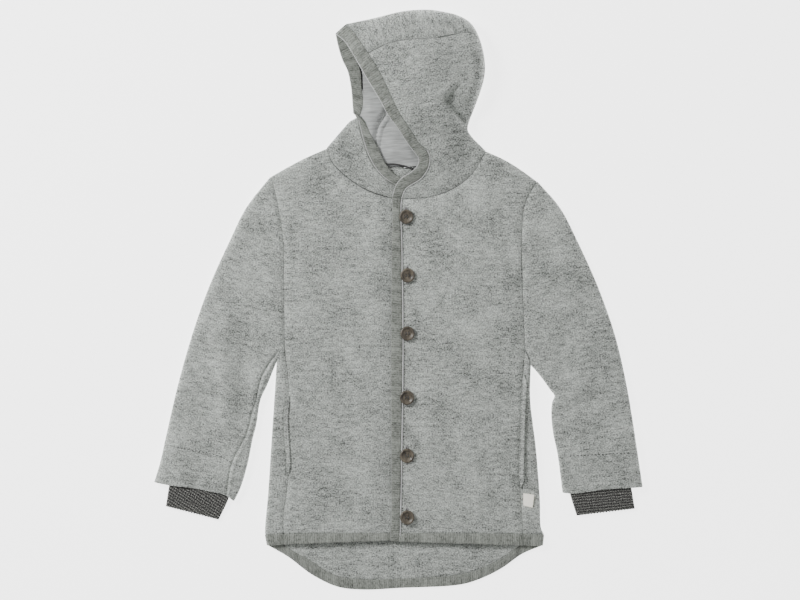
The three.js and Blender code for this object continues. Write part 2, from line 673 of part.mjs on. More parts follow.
function addBody() {
  addCloth('front_right', fronts.right);
  addCloth('front_left', fronts.left);
  addCloth('back', join(backGrids.under, backGrids.wrapRight, backGrids.wrapLeft));
}

// A flattened tube between two outlines: both sides from one plan, meeting at the outlines
function tube(edges, spacing, rows, upper, lower, outwardUp) {
  return join(
    spreadGrid(edges, spacing, rows, upper, outwardUp),
    spreadGrid(edges, spacing, rows, lower, !outwardUp),
  );
}

// Rounding over both outlines of a tube: 0 at either, 1 where the cloth lies flat between them
function tubeRound(outer, inner, outerRun, innerRun) {
  const [outerSamples, innerSamples] = [sampled(outer, 80), sampled(inner, 80)];
  return (place) => quarterRound(distanceTo(outerSamples, place) / outerRun)
    * quarterRound(distanceTo(innerSamples, place) / innerRun);
}

const cuffRun = 1.8;
const cuffLevels = { lower: 3.1, upper: 5.4 };
const cuffDrop = { from: 0.62, run: 0.3, depth: 2.3 }; // past the sleeve's end the cuff comes down

// A sleeve's rows run across it. Its inner side starts with the armhole, over the same stations as
// the front and the wrap, and goes on along the fold below the armpit.
const armholePart = 0.51;
const armpitPart = 0.05;
const sleeveRows = [
  ...armholeSteps.map((t) => armholePart * (1 - t)).reverse(),
  ...armpitSteps.map((t) => armholePart + armpitPart * (1 - t)).reverse().slice(1),
  ...steps(9).slice(1).map((t) => mix(armholePart + armpitPart, 1, t)),
];

function addSleeve(side, { outer, inner, cuff }, armhole, armpitEdge, outwardUp) {
  const [near, far] = [line(outer), line(inner)];
  const innerSide = chain(
    [reversed(armhole), armholePart],
    [reversed(armpitEdge), armpitPart],
    [far, 1 - armholePart - armpitPart],
  );
  const last = line([outer.at(-1), inner.at(-1)]);
  const rounds = tubeRound(near, far, shoulderRun, foldRun);
  const roundsUnder = tubeRound(near, far, foldRun, foldRun);
  const end = sampled(last, 8);
  const level = (place) => mix(sleeveEndLevel, frontLevel, smooth((distanceTo(end, place) - 45) / 40));
  const start = [...sampled(armhole, 40), ...sampled(armpitEdge, 10)];
  const upper = (place) => {
    const top = level(place) + foldsAt(place) * smooth(distanceTo(start, place) / 25);
    return mix(foldMiddle(level(place)), top, rounds(place));
  };
  const lower = (place) => mix(foldMiddle(level(place)), backLevel, roundsUnder(place));
  const edges = { near, far: innerSide, first: at(outer[0]), last };
  const sheet = tube(edges, { near: shoulderRun, far: foldRun, even: 4 }, sleeveRows, upper, lower, outwardUp);
  addCloth(`sleeve_${side}`, sheet);
  addCuff(side, cuff, outwardUp);
}

function addCuff(side, { outerTop, outerEnd, innerTop, innerEnd }, outwardUp) {
  const [near, far] = [line([outerTop, outerEnd]), line([innerTop, innerEnd])];
  const rounds = tubeRound(near, far, cuffRun, cuffRun);
  const [top, length] = [flat(outerTop), flat(outerTop).distanceTo(flat(outerEnd))];
  const axis = flat(outerEnd).sub(top).divideScalar(length);
  const drop = (place) => {
    const share = new THREE.Vector3(place.x - top.x, place.y - top.y, 0).dot(axis) / length;
    return cuffDrop.depth * smooth((share - cuffDrop.from) / cuffDrop.run);
  };
  const middle = (cuffLevels.lower + cuffLevels.upper) / 2;
  const sheet = tube({
    near, far, first: line([outerTop, innerTop]), last: line([outerEnd, innerEnd]),
  }, { near: cuffRun, far: cuffRun, even: 4 }, steps(6),
  (place) => mix(middle, cuffLevels.upper, rounds(place)) - drop(place),
  (place) => mix(middle, cuffLevels.lower, rounds(place)) - drop(place), outwardUp);
  addCloth(`cuff_${side}`, sheet, 'rib', () => cuffWall / 2);
}

// A knit binding: a strip from its seam to its free edge, rounded there
const bindingColumns = [0, 0.5, 0.85, 1];
const bindingSlim = [1, 1, 0.85, 0.45];
function addBinding(name, stations, outwardUp, thickness = bindingWall) {
  const names = stations.map((_, j) => j);
  const strip = grid(bindingColumns, names, (u, j) => {
    const { seam, edge } = stations[j];
    const point = seam.clone().lerp(edge, u);
    point.z = Math.max(point.z, thickness / 2);
    return point;
  }, outwardUp);
  addCloth(name, strip, 'binding', (i) => (thickness / 2) * bindingSlim[i % bindingColumns.length]);
}

const lifted = (point, height) => new THREE.Vector3(point.x, point.y, height(point));
const rowOf = ({ points, columns }, row) => points.slice(row * columns, (row + 1) * columns);
const columnOf = ({ points, columns }, column) => points.filter((_, i) => i % columns === column);

const lastColumn = (sheet) => columnOf(sheet, sheet.columns - 1);
const bandLift = 0.4;

function addFrontBindings() {
  const placket = lastColumn(fronts.left).map((seam, j) => ({
    seam: lifted(seam, () => placketLevel - bandLift / 2),
    edge: lifted(L.placketEdge(bodyRows[j]), () => placketLevel),
  }));
  addBinding('binding_front_left', placket, false);
  const under = lastColumn(fronts.right).map((seam, j) => ({
    seam, edge: lifted(L.underEdge(bodyRows[j]), () => underLevel),
  }));
  addBinding('binding_front_right', under, true, bindingWall - bandLift);
}

// Running shares of a row of points along its length
function sharesOf(points) {
  const runs = [0];
  points.slice(1).forEach((point, i) => runs.push(runs[i] + point.distanceTo(points[i])));
  return runs.map((run) => run / runs.at(-1));
}

function hemStations(seams, edgeCurve, height) {
  const shares = sharesOf(seams.map((seam) => lifted(seam, () => 0)));
  return seams.map((seam, j) => ({ seam, edge: lifted(edgeCurve(shares[j]), height) }));
}

function addHemBindings() {
  addBinding('hem_binding_front_right', hemStations(rowOf(fronts.right, 0), L.hemEdgeRight, coveredHeight), true);
  addBinding('hem_binding_front_left', hemStations(rowOf(fronts.left, 0), L.hemEdgeLeft, coveringHeight), false);
  const wrapEdge = (corner, end) => line([corner, end]);
  const rightEnd = lines.hemEdgeRight[0];
  const leftEnd = lines.hemEdgeLeft[0];
  const stations = [
    ...hemStations(rowOf(backGrids.wrapRight, 0), wrapEdge(hemCornerRight, rightEnd), wrapHeight).reverse(),
    ...hemStations(rowOf(backGrids.under, 0), L.hemEdgeBack, backHeight).slice(1, -1),
    ...hemStations(rowOf(backGrids.wrapLeft, 0), wrapEdge(hemCornerLeft, leftEnd), wrapHeight),
  ];
  addBinding('hem_binding_back', stations, false);
}

// The hood's binding runs on from the front binding, round the face and down the flap
const throatPace = { seam: 0.3, edge: 0.277 }; // where the seam and the edge turn at the throat
function pacedEdge(share) {
  if (share < throatPace.seam) return H.edge((share / throatPace.seam) * throatPace.edge);
  return H.edge(mix(throatPace.edge, 1, (share - throatPace.seam) / (1 - throatPace.seam)));
}

function addHoodBinding() {
  const face = [...lastColumn(hoodGrids.side)].reverse();
  const faceTop = rowOf(hoodGrids.crown, 0).slice(0, -1).reverse();
  const upper = [...face, ...faceTop];
  const upperShares = sharesOf(upper.map((p) => lifted(p, () => 0)));
  const upperStations = upper.map((seam, j) => ({
    seam, edge: lifted(pacedEdge(upperShares[j]), hoodHeight),
  }));
  const faceUnder = rowOf(hoodGrids.crownUnder, 0).slice(1);
  const side = columnOf(hoodGrids.under, 0).slice(1, underRows.indexOf(flapStart));
  const lower = [...faceUnder, ...side];
  const lowerShares = sharesOf([upper.at(-1), ...lower].map((p) => lifted(p, () => 0))).slice(1);
  const lowerStations = lower.map((seam, j) => ({
    seam, edge: lifted(H.edgeUnder(lowerShares[j]), hoodUnderHeight),
  }));
  const turnOver = { seam: columnOf(hoodGrids.flap, 0)[0], edge: new THREE.Vector3(-49, 229, 12.5) };
  const flap = lastColumn(hoodGrids.flap).slice(1);
  const flapShares = sharesOf(flap.map((p) => lifted(p, () => 0)));
  const flapStations = flap.map((seam, j) => ({
    seam, edge: lifted(H.flapEdge(flapShares[j]), coveredLevel),
  }));
  addBinding('binding_hood', [...upperStations, ...lowerStations, turnOver, ...flapStations], false);
}

// A button lies flat, its dished face up inside a raised rim
function addButton(name, x, y) {
  const radius = buttonDiameter / 2;
  const profile = [
    [0, 0], [0.88 * radius, 0], [radius, 0.3 * buttonHeight], [radius, 0.75 * buttonHeight],
    [0.86 * radius, buttonHeight], [0.66 * radius, 0.7 * buttonHeight], [0, 0.62 * buttonHeight],
  ];
  const geometry = new THREE.LatheGeometry(profile.map(([r, z]) => new THREE.Vector2(r, z)), 16);
  const button = addPiece(name, geometry, 'horn');
  button.rotation.x = Math.PI / 2;
  button.position.set(x, y, placketLevel + (bindingWall - bandLift) / 2 + buttonClear);
}

const buttonPlaces = [
  { x: 11, y: 102.5 }, { x: 12.7, y: 29.5 }, { x: 12.5, y: -43 },
  { x: 11.9, y: -123 }, { x: 11.9, y: -195.6 }, { x: 12.1, y: -272.5 },
];

// The small blank label: a ribbon caught in the side seam, lying on the back's wrap
const label = { near: [[156.9, -245], [156.6, -259]], far: [[170.6, -242.5], [169.6, -261]], wall: 0.8 };
function addLabel() {
  const [near, far] = [line(label.near), line(label.far)];
  const rise = (clothWall + label.wall) / 2 + liningClear;
  const plan = patch(near, far, line([label.near[0], label.far[0]]), line([label.near[1], label.far[1]]));
  const sheet = grid(steps(2), steps(2), (u, v) => lifted(plan(u, v), (p) => wrapHeight(p) + rise), false);
  addCloth('side_label', sheet, 'label', () => label.wall / 2);
}

addHood();
addBody();
addSleeve('right', sleeveLines.right, L.armholeRight, L.armpitEdgeRight, false);
addSleeve('left', sleeveLines.left, L.armholeLeft, L.armpitEdgeLeft, true);
addFrontBindings();
addHemBindings();
addHoodBinding();
addLabel();
addWalls();
buttonPlaces.forEach(({ x, y }, i) => addButton(`button_${i + 1}`, x, y));

export default group;
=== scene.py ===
# %% [markdown]
# # A child's hooded jacket in boiled wool, laid flat
# The jacket lies on its back and is seen from straight above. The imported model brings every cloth
# piece as a plain wall. Here each one is made again, finer, from the same edges and heights, and gets
# its knit, its stitching and the softness of felted wool. The script works in millimetres and turns
# them into metres only when a mesh is made.

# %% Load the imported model
import bpy
import numpy as np
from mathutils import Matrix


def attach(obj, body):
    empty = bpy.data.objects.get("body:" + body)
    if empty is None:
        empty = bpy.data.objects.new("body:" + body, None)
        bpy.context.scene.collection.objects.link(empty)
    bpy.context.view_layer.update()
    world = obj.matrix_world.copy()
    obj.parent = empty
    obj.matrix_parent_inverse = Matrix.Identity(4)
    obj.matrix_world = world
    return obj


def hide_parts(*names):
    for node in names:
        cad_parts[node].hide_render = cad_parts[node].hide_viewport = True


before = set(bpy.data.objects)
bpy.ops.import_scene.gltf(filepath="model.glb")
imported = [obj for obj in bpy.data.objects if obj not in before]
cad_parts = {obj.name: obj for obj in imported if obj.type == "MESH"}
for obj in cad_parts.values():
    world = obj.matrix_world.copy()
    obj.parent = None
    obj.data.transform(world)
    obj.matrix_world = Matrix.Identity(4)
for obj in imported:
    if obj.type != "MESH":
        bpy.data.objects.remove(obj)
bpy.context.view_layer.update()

# %% [markdown]
# ## Lines
# A pattern cutter draws each panel's edge with a bendy ruler through a few marks. A centripetal
# Catmull-Rom curve does the same: it passes through every mark and doesn't overshoot where the marks
# are close together. Each line is read by its share of the length, so that two panels that meet at a
# seam can be walked along at the same pace.

# %% Smooth lines and chains of lines
def runs_of(points):
    """The distance travelled along a row of points up to each of them."""
    return np.concatenate([[0], np.cumsum(np.linalg.norm(np.diff(points, axis=0), axis=1))])


def smooth_line(points, per_span=48):
    """A centripetal Catmull-Rom curve through the points; returns a function of length share."""
    p = np.asarray(points, float)
    ends = np.vstack([2 * p[0] - p[1], p, 2 * p[-1] - p[-2]])
    p0, p1, p2, p3 = ends[:-3], ends[1:-2], ends[2:-1], ends[3:]
    g0, g1, g2 = (np.sqrt(np.linalg.norm(b - a, axis=1))[:, None] for a, b in ((p0, p1), (p1, p2), (p2, p3)))
    m1 = ((p1 - p0) / g0 - (p2 - p0) / (g0 + g1) + (p2 - p1) / g1) * g1
    m2 = ((p2 - p1) / g1 - (p3 - p1) / (g1 + g2) + (p3 - p2) / g2) * g1
    t = np.linspace(0, 1, per_span, endpoint=False)[None, :, None]
    p1, p2, m1, m2 = p1[:, None], p2[:, None], m1[:, None], m2[:, None]
    curve = p1 + m1 * t + (3 * (p2 - p1) - 2 * m1 - m2) * t**2 + (2 * (p1 - p2) + m1 + m2) * t**3
    dense = np.vstack([curve.reshape(-1, p.shape[1]), p[-1:]])
    runs = runs_of(dense)

    def at(t):
        t = np.clip(np.asarray(t, float), 0, 1) * runs[-1]
        return np.stack([np.interp(t, runs, dense[:, k]) for k in range(p.shape[1])], axis=-1)

    return at


def chain(*parts):
    """Lines one after another, each given with its share of the whole."""
    stops = np.cumsum([0] + [share for _, share in parts])
    stops = stops / stops[-1]

    def at(t):
        t = np.asarray(t, float)
        out = parts[0][0](t / stops[1])
        for (curve, _), low, high in zip(parts[1:], stops[1:-1], stops[2:]):
            out = np.where((t > low + 1e-9)[..., None], curve((t - low) / (high - low)), out)
        return out

    return at


def reverse(curve):
    """The same line from its other end."""
    return lambda t: curve(1 - np.asarray(t, float))


def stretch(curve, low, high):
    """A part of a line, from one share to another, as a line of its own."""
    return lambda t: curve(low + (high - low) * np.asarray(t, float))


def at_point(place):
    """A line that stays in one place."""
    return lambda t: np.broadcast_to(np.asarray(place, float), np.shape(t) + (2,))


# %% Distances and soft steps
def smooth(t):
    """0 below 0, 1 above 1, and an S-shaped step between."""
    t = np.clip(t, 0, 1)
    return t * t * (3 - 2 * t)


def quarter_round(t):
    """The height of a quarter circle over its run."""
    return np.sqrt(1 - (1 - np.clip(t, 0, 1)) ** 2)


def bell(distance, width):
    """1 at a distance of 0, falling off on both sides like a bell."""
    return np.exp(-((distance / width) ** 2))


def mix(a, b, t):
    """a where t is 0, b where it is 1, and in proportion between."""
    return a + (b - a) * t


def distance_to(samples, place, on_line=0.1):
    """The least distance in plan to a sampled line; what lies on the line counts as 0."""
    samples = np.asarray(samples, float)
    a, step = samples[:-1], np.diff(samples, axis=0)
    spots = place.reshape(-1, 2)
    best = np.empty(len(spots))
    for block in range(0, len(spots), 4000):
        to = spots[block:block + 4000, None] - a
        share = np.clip((to * step).sum(-1) / np.maximum((step * step).sum(-1), 1e-9), 0, 1)
        best[block:block + 4000] = np.linalg.norm(to - share[..., None] * step, axis=-1).min(axis=1)
    return np.maximum(best.reshape(place.shape[:-1]) - on_line, 0)


def sampled(curve, count=100):
    """Points at even shares of a line."""
    return curve(np.linspace(0, 1, count + 1))


# %% [markdown]
# ## The jacket's sizes
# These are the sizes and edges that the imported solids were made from, so every new surface lies
# where its solid is. Levels are heights of the middle of the cloth above the table.

# %% Named sizes, in millimetres
CLOTH, BINDING, LINING, CUFF, LABEL = 2.2, 2.6, 1.0, 1.2, 0.8  # thicknesses
FRONT, UNDER, PLACKET, SHOULDER = 6.3, 3.65, 6.8, 3.9  # levels
BACK = CLOTH / 2
FOLD_RUN, SHOULDER_RUN, RIM_RUN = 4.2, 9.0, 15.0
SLEEVE_END = 7.5  # the level of its upper layer, above the cuff
CENTRE = np.array([1.14, -0.94, 0.0])  # of the drawing; it becomes the frame's origin
LINING_CLEAR = 0.4
SEAM_GAP, TIGHT_GAP = 0.02, -0.25  # a binding grips the cloth that it is sewn to

neck_right, neck_left = [-88, 187.5], [110, 184]
tip_right, tip_left = [-158, 152], [174, 146]
seam_top_right, seam_top_left = [-141, -58], [159, -62]
armpit_right, armpit_left = [-149.4, -71.5], [165.6, -80]
hood_tip, forehead_corner = [-65, 342], [-77, 331]
crown_corner, face_corner, under_corner = [103, 323.8], [-36.2, 306.2], [-50.6, 298.8]
hem_corner_right, hem_corner_left = [-162, -307.5], [180.5, -307.8]
placket_top, under_top, flap_tip = [3.8, 125], [14, 124], [-50, 226]

# %% Edges of the body, hood and sleeves
lines = {
    "fold_right": [[-164.6, -294], [-165.6, -286], [-162, -246], [-158, -186], [-154, -126], armpit_right],
    "fold_left": [[182, -294], [179.4, -286], [178, -251], [173, -186], [166, -126], armpit_left],
    "side_right": [[-142, -293], [-142.6, -274], [-136, -217], [-139, -150], [-136, -111], seam_top_right],
    "side_left": [[157, -293], [153, -230], [154, -154], [156, -110], seam_top_left],
    "armhole_right": [seam_top_right, [-142, 14], [-143, 76], [-150, 121], tip_right],
    "armhole_left": [seam_top_left, [155.4, 27], [155, 76], [160, 121], tip_left],
    "armpit_edge_right": [armpit_right, [-146, -65], seam_top_right],
    "armpit_edge_left": [armpit_left, [163, -71], seam_top_left],
    "shoulder_right": [tip_right, [-137, 164], [-118, 174], neck_right],
    "shoulder_left": [tip_left, [149, 164], [132, 174], neck_left],
    "neck_right": [neck_right, [-82, 171], [-59, 149], [-34, 134], [-7, 126], under_top],
    "neck_left": [neck_left, [93, 156], [72, 139], [41, 127.5], placket_top],
    "neck_back_right": [neck_right, [-66, 175], [-41, 167.5], [9.4, 163.8]],
    "neck_back_left": [neck_left, [84, 173.8], [53, 166.2], [9.4, 163.8]],
    "placket": [[2, -292.5], [2.5, -276], [5.6, -64], [4.4, 49], [3, 112], placket_top],
    "placket_edge": [[-8.5, -292.5], [-7.5, -276], [-8, -64], [-7, 61], [-6.4, 112], [-6.4, 127]],
    "under": [[12, -292.5], [12, -64], [12, 61], under_top],
    "under_edge": [[24, -292.5], [24, -64], [24, 61], [24.5, 120]],
    "hem_right": [[-142, -293], [-70, -292.5], [12, -292.5]],
    "hem_left": [[157, -293], [80, -292.5], [2, -292.5]],
    "hem_edge_right": [[-142, -306.4], [-62, -303.4], [-8, -302], [12, -302]],
    "hem_edge_left": [[157, -307.5], [67, -305], [2, -303]],
    "hem_back": [[-164.6, -294], [-129.5, -315.6], [-109, -327], [-80, -344.5], [-45, -350.5], [8, -349.5],
                 [79, -344], [105, -336.5], [131, -323.5], [147, -312], [182, -294]],
    "hem_edge_back": [[-162, -307.5], [-137.6, -321.3], [-106.4, -344.5], [-74.4, -359.5], [-43, -363],
                      [3, -361], [79.4, -356.6], [105, -348.8], [130.6, -336], [155.6, -318.4],
                      [180.5, -307.8]],
    "rim": [hood_tip, [-32, 350], [8, 359.4], [38, 361.2], [53, 359.4], [76, 353.8], [92, 343.8],
            crown_corner, [109.4, 294], [108, 274], [95, 235], [88.6, 219], [88, 211], [93, 203], neck_left],
    "face_top": [hood_tip, [-55, 333.8], [-47, 322], face_corner],
    "face": [face_corner, [-18, 275], [-6.4, 250], [3.6, 230], [17, 210], [25.4, 196.2], [35.6, 185],
             [39.4, 176.2], [37, 163], [28.8, 151.2], [19.4, 145], [9.4, 138], placket_top],
    "face_under_top": [hood_tip, [-57, 316.2], under_corner],
    "face_under": [under_corner, [-45.6, 282.5], [-44.4, 261], [-42.4, 246], [-44.4, 235], flap_tip],
    "upper_seam": [face_corner, [-12, 318], [13, 322.5], [53, 325], [84.4, 331.2], [95, 329.5], crown_corner],
    "lower_seam": [under_corner, [-30.6, 307.5], [-5.6, 312.5], [12, 311], [24.4, 306], [33, 294],
                   [33, 267.5], [28, 234], [18, 199], [9.4, 163.8]],
    "collar_fold": [flap_tip, [-59.4, 222], [-67, 213.8], [-75.6, 203.8], neck_right],
    "flap_face": [flap_tip, [-45.6, 206], [-38.8, 184], [-29.4, 165], [-17, 150.5], [-2.5, 141], [7, 131],
                  under_top],
    "edge": [[-6.4, 127.5], [-2.5, 140], [4.4, 150], [17, 158], [25, 166], [27, 174.4], [23.8, 179.6],
             [12, 195], [1.2, 212], [-12, 230], [-23, 250], [-37.5, 274], [-57.5, 309], [-66, 322],
             forehead_corner],
    "edge_under": [forehead_corner, [-73.6, 315], [-68, 297.5], [-62, 285], [-57.5, 262.5], [-56, 245],
                   [-55, 233]],
    "flap_edge": [[-40, 219], [-34.4, 207.5], [-24.4, 189], [-15.6, 170], [-8, 159.4], [4, 151], [14.4, 142],
                  [24, 126]],
    "outer_right": [tip_right, [-189, 114], [-209, 74], [-236, 14], [-257, -46], [-274, -106], [-288, -166],
                    [-297, -206], [-303, -229]],
    "inner_right": [armpit_right, [-162, -106], [-171, -126], [-176, -156], [-181, -176], [-187, -206],
                    [-196, -236], [-205, -252]],
    "sleeve_end_right": [[-303, -229], [-287, -232.3], [-262, -235.3], [-233, -240.6], [-213.7, -245.6],
                         [-205, -252]],
    "sleeve_end_left": [[305.2, -235], [290, -236], [262, -237.4], [240, -240.4], [220, -243], [207, -242]],
    "outer_left": [tip_left, [203, 114], [224, 74], [251, 14], [272, -46], [286, -106], [293, -146],
                   [299, -186], [305.2, -235]],
    "inner_left": [armpit_left, [178, -96], [191, -114], [196, -121], [193, -129], [192, -146], [194, -166],
                   [200, -196], [207, -242]],
}
cuff_corners = {  # top and end of the outer and the inner edge
    "right": ([-279, -200], [-289, -259], [-204, -218], [-224, -275.5]),
    "left": ([286, -204], [296, -262], [213, -210], [224.4, -270.5]),
}
label_corners = ([157.1, -242.5], [157.1, -257.6], [170.4, -244.4], [168.5, -260.4])
button_places = [[11, 102.5], [12.7, 29.5], [12.5, -43], [11.9, -123], [11.9, -195.6], [12.1, -272.5]]


def middle_of(points, side):
    """Outline points moved half a wall inwards, at right angles to the line; the ends stay."""
    p = np.asarray(points, float)
    along = p[2:] - p[:-2]
    along /= np.linalg.norm(along, axis=1)[:, None]
    p[1:-1] += np.stack([along[:, 1], -along[:, 0]], axis=1) * side * CLOTH / 2
    return p


for name, side in dict(fold_right=1, fold_left=-1, rim=1, collar_fold=-1,
                       outer_right=-1, outer_left=1, inner_right=1, inner_left=-1).items():
    lines[name] = middle_of(lines[name], side)

rim_line = smooth_line(lines["rim"])
rim_shares = np.linspace(0, 1, 401)
crown_share = rim_shares[np.linalg.norm(rim_line(rim_shares) - crown_corner, axis=1).argmin()]
crown_end = rim_line(crown_share)
lines["upper_seam"][-1] = list(crown_end)
L = {name: smooth_line(points) for name, points in lines.items()}
print("lines:", len(L))

# %% [markdown]
# ## Heights
# Flat cloth isn't level: it rounds down at every fold, dips into its seams and waves a little. Each
# of these is a function of the place in plan, so neighbouring panels agree at their common edge. The
# waves and dips are what soft light picks out in boiled wool, which has no hard creases.

# %% Waves, folds and seams of the upper side
soft_folds = [  # from, to, width, height; below zero it is a trough
    ([-132, 60], [-90, -40], 26, 0.7), ([-105, -180], [-80, -270], 24, 0.6),
    ([140, 40], [105, -60], 26, 0.7), ([115, -150], [90, -260], 24, 0.6),
    ([-178, -60], [-235, -90], 16, 0.7), ([-165, 60], [-205, 0], 20, 0.6),
    ([200, -118], [245, -104], 12, 0.8), ([172, 50], [215, -20], 20, 0.6),
]
fine_folds = [  # the elbows' folds first, then those of the chest
    ([189.4, -111.3], [221.9, -96.3], 6.0, 1.5), ([198.1, -142.5], [248.1, -123.8], 8.0, -1.8),
    ([248.1, -123.8], [245.6, -88.8], 8.0, -1.3), ([209.4, -157.5], [253.1, -151.3], 9.0, 1.0),
    ([228.1, -176.3], [253.1, -163.8], 7.0, -0.9), ([204.4, -71.3], [209.4, -57.5], 8.0, -1.2),
    ([-218.0, -34.0], [-214.4, -151.0], 13.0, 3.6), ([-191.0, -32.0], [-187.0, -139.0], 11.0, -2.3),
    ([-80, 120], [-110, 60], 12.0, 0.7), ([150, -30], [185, -60], 7.0, 0.6),
    ([-60, -60], [-75, -200], 16.0, -0.6), ([60, -20], [70, -160], 18.0, -0.6),
    ([-110, 166], [-100, 130], 9.0, 0.7), ([-66, 205], [-52, 180], 6.0, -1.2),
]


def folds_at(place, folds):
    """The sum of bell-shaped ridges along straight lines."""
    return sum(height * bell(distance_to([a, b], place), width) for a, b, width, height in folds)


WAVE_COUNT, WAVE_HEIGHT = 7, 0.26
random = np.random.default_rng(11)
WAVES = list(zip(*(random.uniform(low, high, WAVE_COUNT) for low, high in ((0, np.pi), (28, 75), (0, 6.28)))))


def waves(place):
    """Seven long low sine waves, each with its direction, length and phase."""
    x, y = place[..., 0], place[..., 1]
    return sum(WAVE_HEIGHT * np.sin(2 * np.pi * (x * np.cos(angle) + y * np.sin(angle)) / length + phase)
               for angle, length, phase in WAVES)


top_seams = [sampled(L[name], 60) for name in (
    "side_right", "side_left", "armhole_right", "armhole_left", "neck_right", "neck_left", "upper_seam")]
SEAM_DIP, SEAM_REACH, SEAM_EASE = 1.6, 3.4, 14


def seam_dip(gap):
    """Panels sink towards their seams: deepest on the seam and gone two reaches away."""
    return -SEAM_DIP * bell(gap, SEAM_REACH)


def relief(place):
    """What the visible side adds to the plain level: waves and folds that die out at the seams."""
    gap = np.min([distance_to(samples, place) for samples in top_seams], axis=0)
    return seam_dip(gap) + (waves(place) + folds_at(place, fine_folds)) * smooth(gap / SEAM_EASE)


# %% Heights of the body
shoulders = [sampled(L["shoulder_right"], 40), sampled(L["shoulder_left"], 40)]
pockets = {"right": (-217, -120), "left": (-236, -94)}  # where the side seams open, by their y
POCKET_LIFT, POCKET_REACH, POCKET_END = 0.8, 7, 14
SHOULDER_EASE = 30  # the soft folds die out over this distance from the shoulder
COVER_START, COVER_SLANT, COVER_RUN = -26, 0.35, 20


def between(values, low, high, run, last_run=None):
    """1 between low and high, falling to 0 at both over a run; the last run may have its own length."""
    return smooth((values - low) / run) * smooth((high - values) / (last_run or run))


def pocket_lift(place):
    """The pockets' front edges stand up a little and gape."""
    return sum(POCKET_LIFT * between(place[..., 1], low, high, POCKET_END)
               * bell(distance_to(sampled(L["side_" + side], 60), place), POCKET_REACH)
               for side, (low, high) in pockets.items())


def front_height(place, level):
    """A front lies level, rounds down to the shoulder seam and carries the relief."""
    shoulder = np.minimum(*[distance_to(line, place) for line in shoulders])
    top = level + folds_at(place, soft_folds) * smooth(shoulder / SHOULDER_EASE)
    return mix(SHOULDER, top, quarter_round(shoulder / SHOULDER_RUN)) + relief(place)


def covered_level(place):
    """The covered front slopes down to where the other one lies over it."""
    start = COVER_START + COVER_SLANT * np.maximum(place[..., 1] - placket_top[1], 0)
    return mix(FRONT, UNDER, smooth((place[..., 0] - start) / COVER_RUN))


def covered_height(place):
    """The wearer's right front, which goes under the other one."""
    return front_height(place, covered_level(place)) + pocket_lift(place)


def covering_height(place):
    """The wearer's left front, which lies on top."""
    return front_height(place, FRONT) + pocket_lift(place)


def fold_middle(level):
    """A fold's turning edge is halfway between the back and the layer above."""
    return (level + BACK) / 2


side_outlines = [np.vstack([[corner], sampled(L[name], 60)]) for corner, name in
                 ((hem_corner_right, "fold_right"), (hem_corner_left, "fold_left"))]


def side_round(place):
    """0 on either side fold, and 1 from the fold's run inwards."""
    return quarter_round(np.minimum(*[distance_to(s, place) for s in side_outlines]) / FOLD_RUN)


def back_height(place):
    """The back lies on the table and turns up round both sides."""
    return mix(fold_middle(FRONT), BACK, side_round(place))


def wrap_height(place):
    """The back's wrap over each side: level, with the upper side's relief away from the fold."""
    round_up = side_round(place)
    return mix(fold_middle(FRONT), FRONT, round_up) + relief(place) * round_up


# %% Heights of the hood
hood_heights = np.array([  # x, y, z
    [-65, 342, 8], [-30, 296, 19], [-6, 250, 21], [20, 206, 17], [38, 170, 10], [20, 340, 20],
    [80, 325, 24], [35, 290, 33], [45, 240, 30], [92, 275, 24], [85, 200, 13], [60, 165, 10],
], float)
HOOD_BLEND, COLLAR_RISE = 26, 42
RIM_TOP, RIM_RISE = 6.5, 110
rim_samples = np.vstack([[forehead_corner], sampled(L["rim"], 160)])
collar_samples = sampled(L["collar_fold"], 40)
neck_samples = sampled(L["neck_left"], 60)
crease_from, crease_to = np.array([56.0, 246.0]), np.array([81.0, 218.0])
BULGE_TALL, BULGE_AT, BULGE_WIDE = 4.2, -8, 7.0
PIT_TOP, PIT_END, PIT_AT = 13.5, 8.0, 3.2  # its depth at the crease's two ends, and how far it is beside
PIT_SLOPE, PIT_WALL = 20.0, 3.4  # its gentle side and its steep one
PIT_SPAN, BULGE_SPAN = (-0.2, 1.25, 0.24, 0.4), (-0.7, 1.2, 0.7, 0.5)  # start, end and both runs, in shares


def rim_height(place):
    """The rim's turning edge rises from the neck to the crown."""
    return mix(fold_middle(FRONT), RIM_TOP, smooth((place[..., 1] - neck_left[1]) / RIM_RISE))


def crease(place):
    """The collar bulges over the hood's back along a crease, with a deep pit beside it."""
    length = np.linalg.norm(crease_to - crease_from)
    along = (crease_to - crease_from) / length
    offset = place - crease_from
    share = offset @ along / length
    side = offset @ np.array([-along[1], along[0]])
    bulge = BULGE_TALL * bell(side - BULGE_AT, BULGE_WIDE) * between(share, *BULGE_SPAN)
    pit = mix(PIT_TOP, PIT_END, np.clip(share, 0, 1)) * between(share, *PIT_SPAN)
    return bulge - pit * bell(side - PIT_AT, np.where(side > PIT_AT, PIT_SLOPE, PIT_WALL))


def hood_height(place):
    """A soft blend of the heights at a dozen places, brought down to the neck and round the rim."""
    gaps = ((place[..., None, :] - hood_heights[:, :2]) ** 2).sum(-1)
    weights = np.exp(-gaps / (2 * HOOD_BLEND**2))
    blend = (weights * hood_heights[:, 2]).sum(-1) / (weights.sum(-1) + 1e-9)
    top = mix(FRONT, blend + crease(place), smooth(distance_to(neck_samples, place) / COLLAR_RISE))
    rim = distance_to(rim_samples, place)
    return mix(rim_height(place), top, quarter_round(rim / RIM_RUN)) + relief(place) * smooth(rim / RIM_RUN)


def hood_under_height(place):
    """The hood's back on the table, turned up round the rim and the collar's fold."""
    rim = 1 - quarter_round(distance_to(rim_samples, place) / FOLD_RUN)
    collar = 1 - quarter_round(distance_to(collar_samples, place) / FOLD_RUN)
    return BACK + (rim_height(place) - BACK) * rim + (fold_middle(FRONT) - BACK) * collar


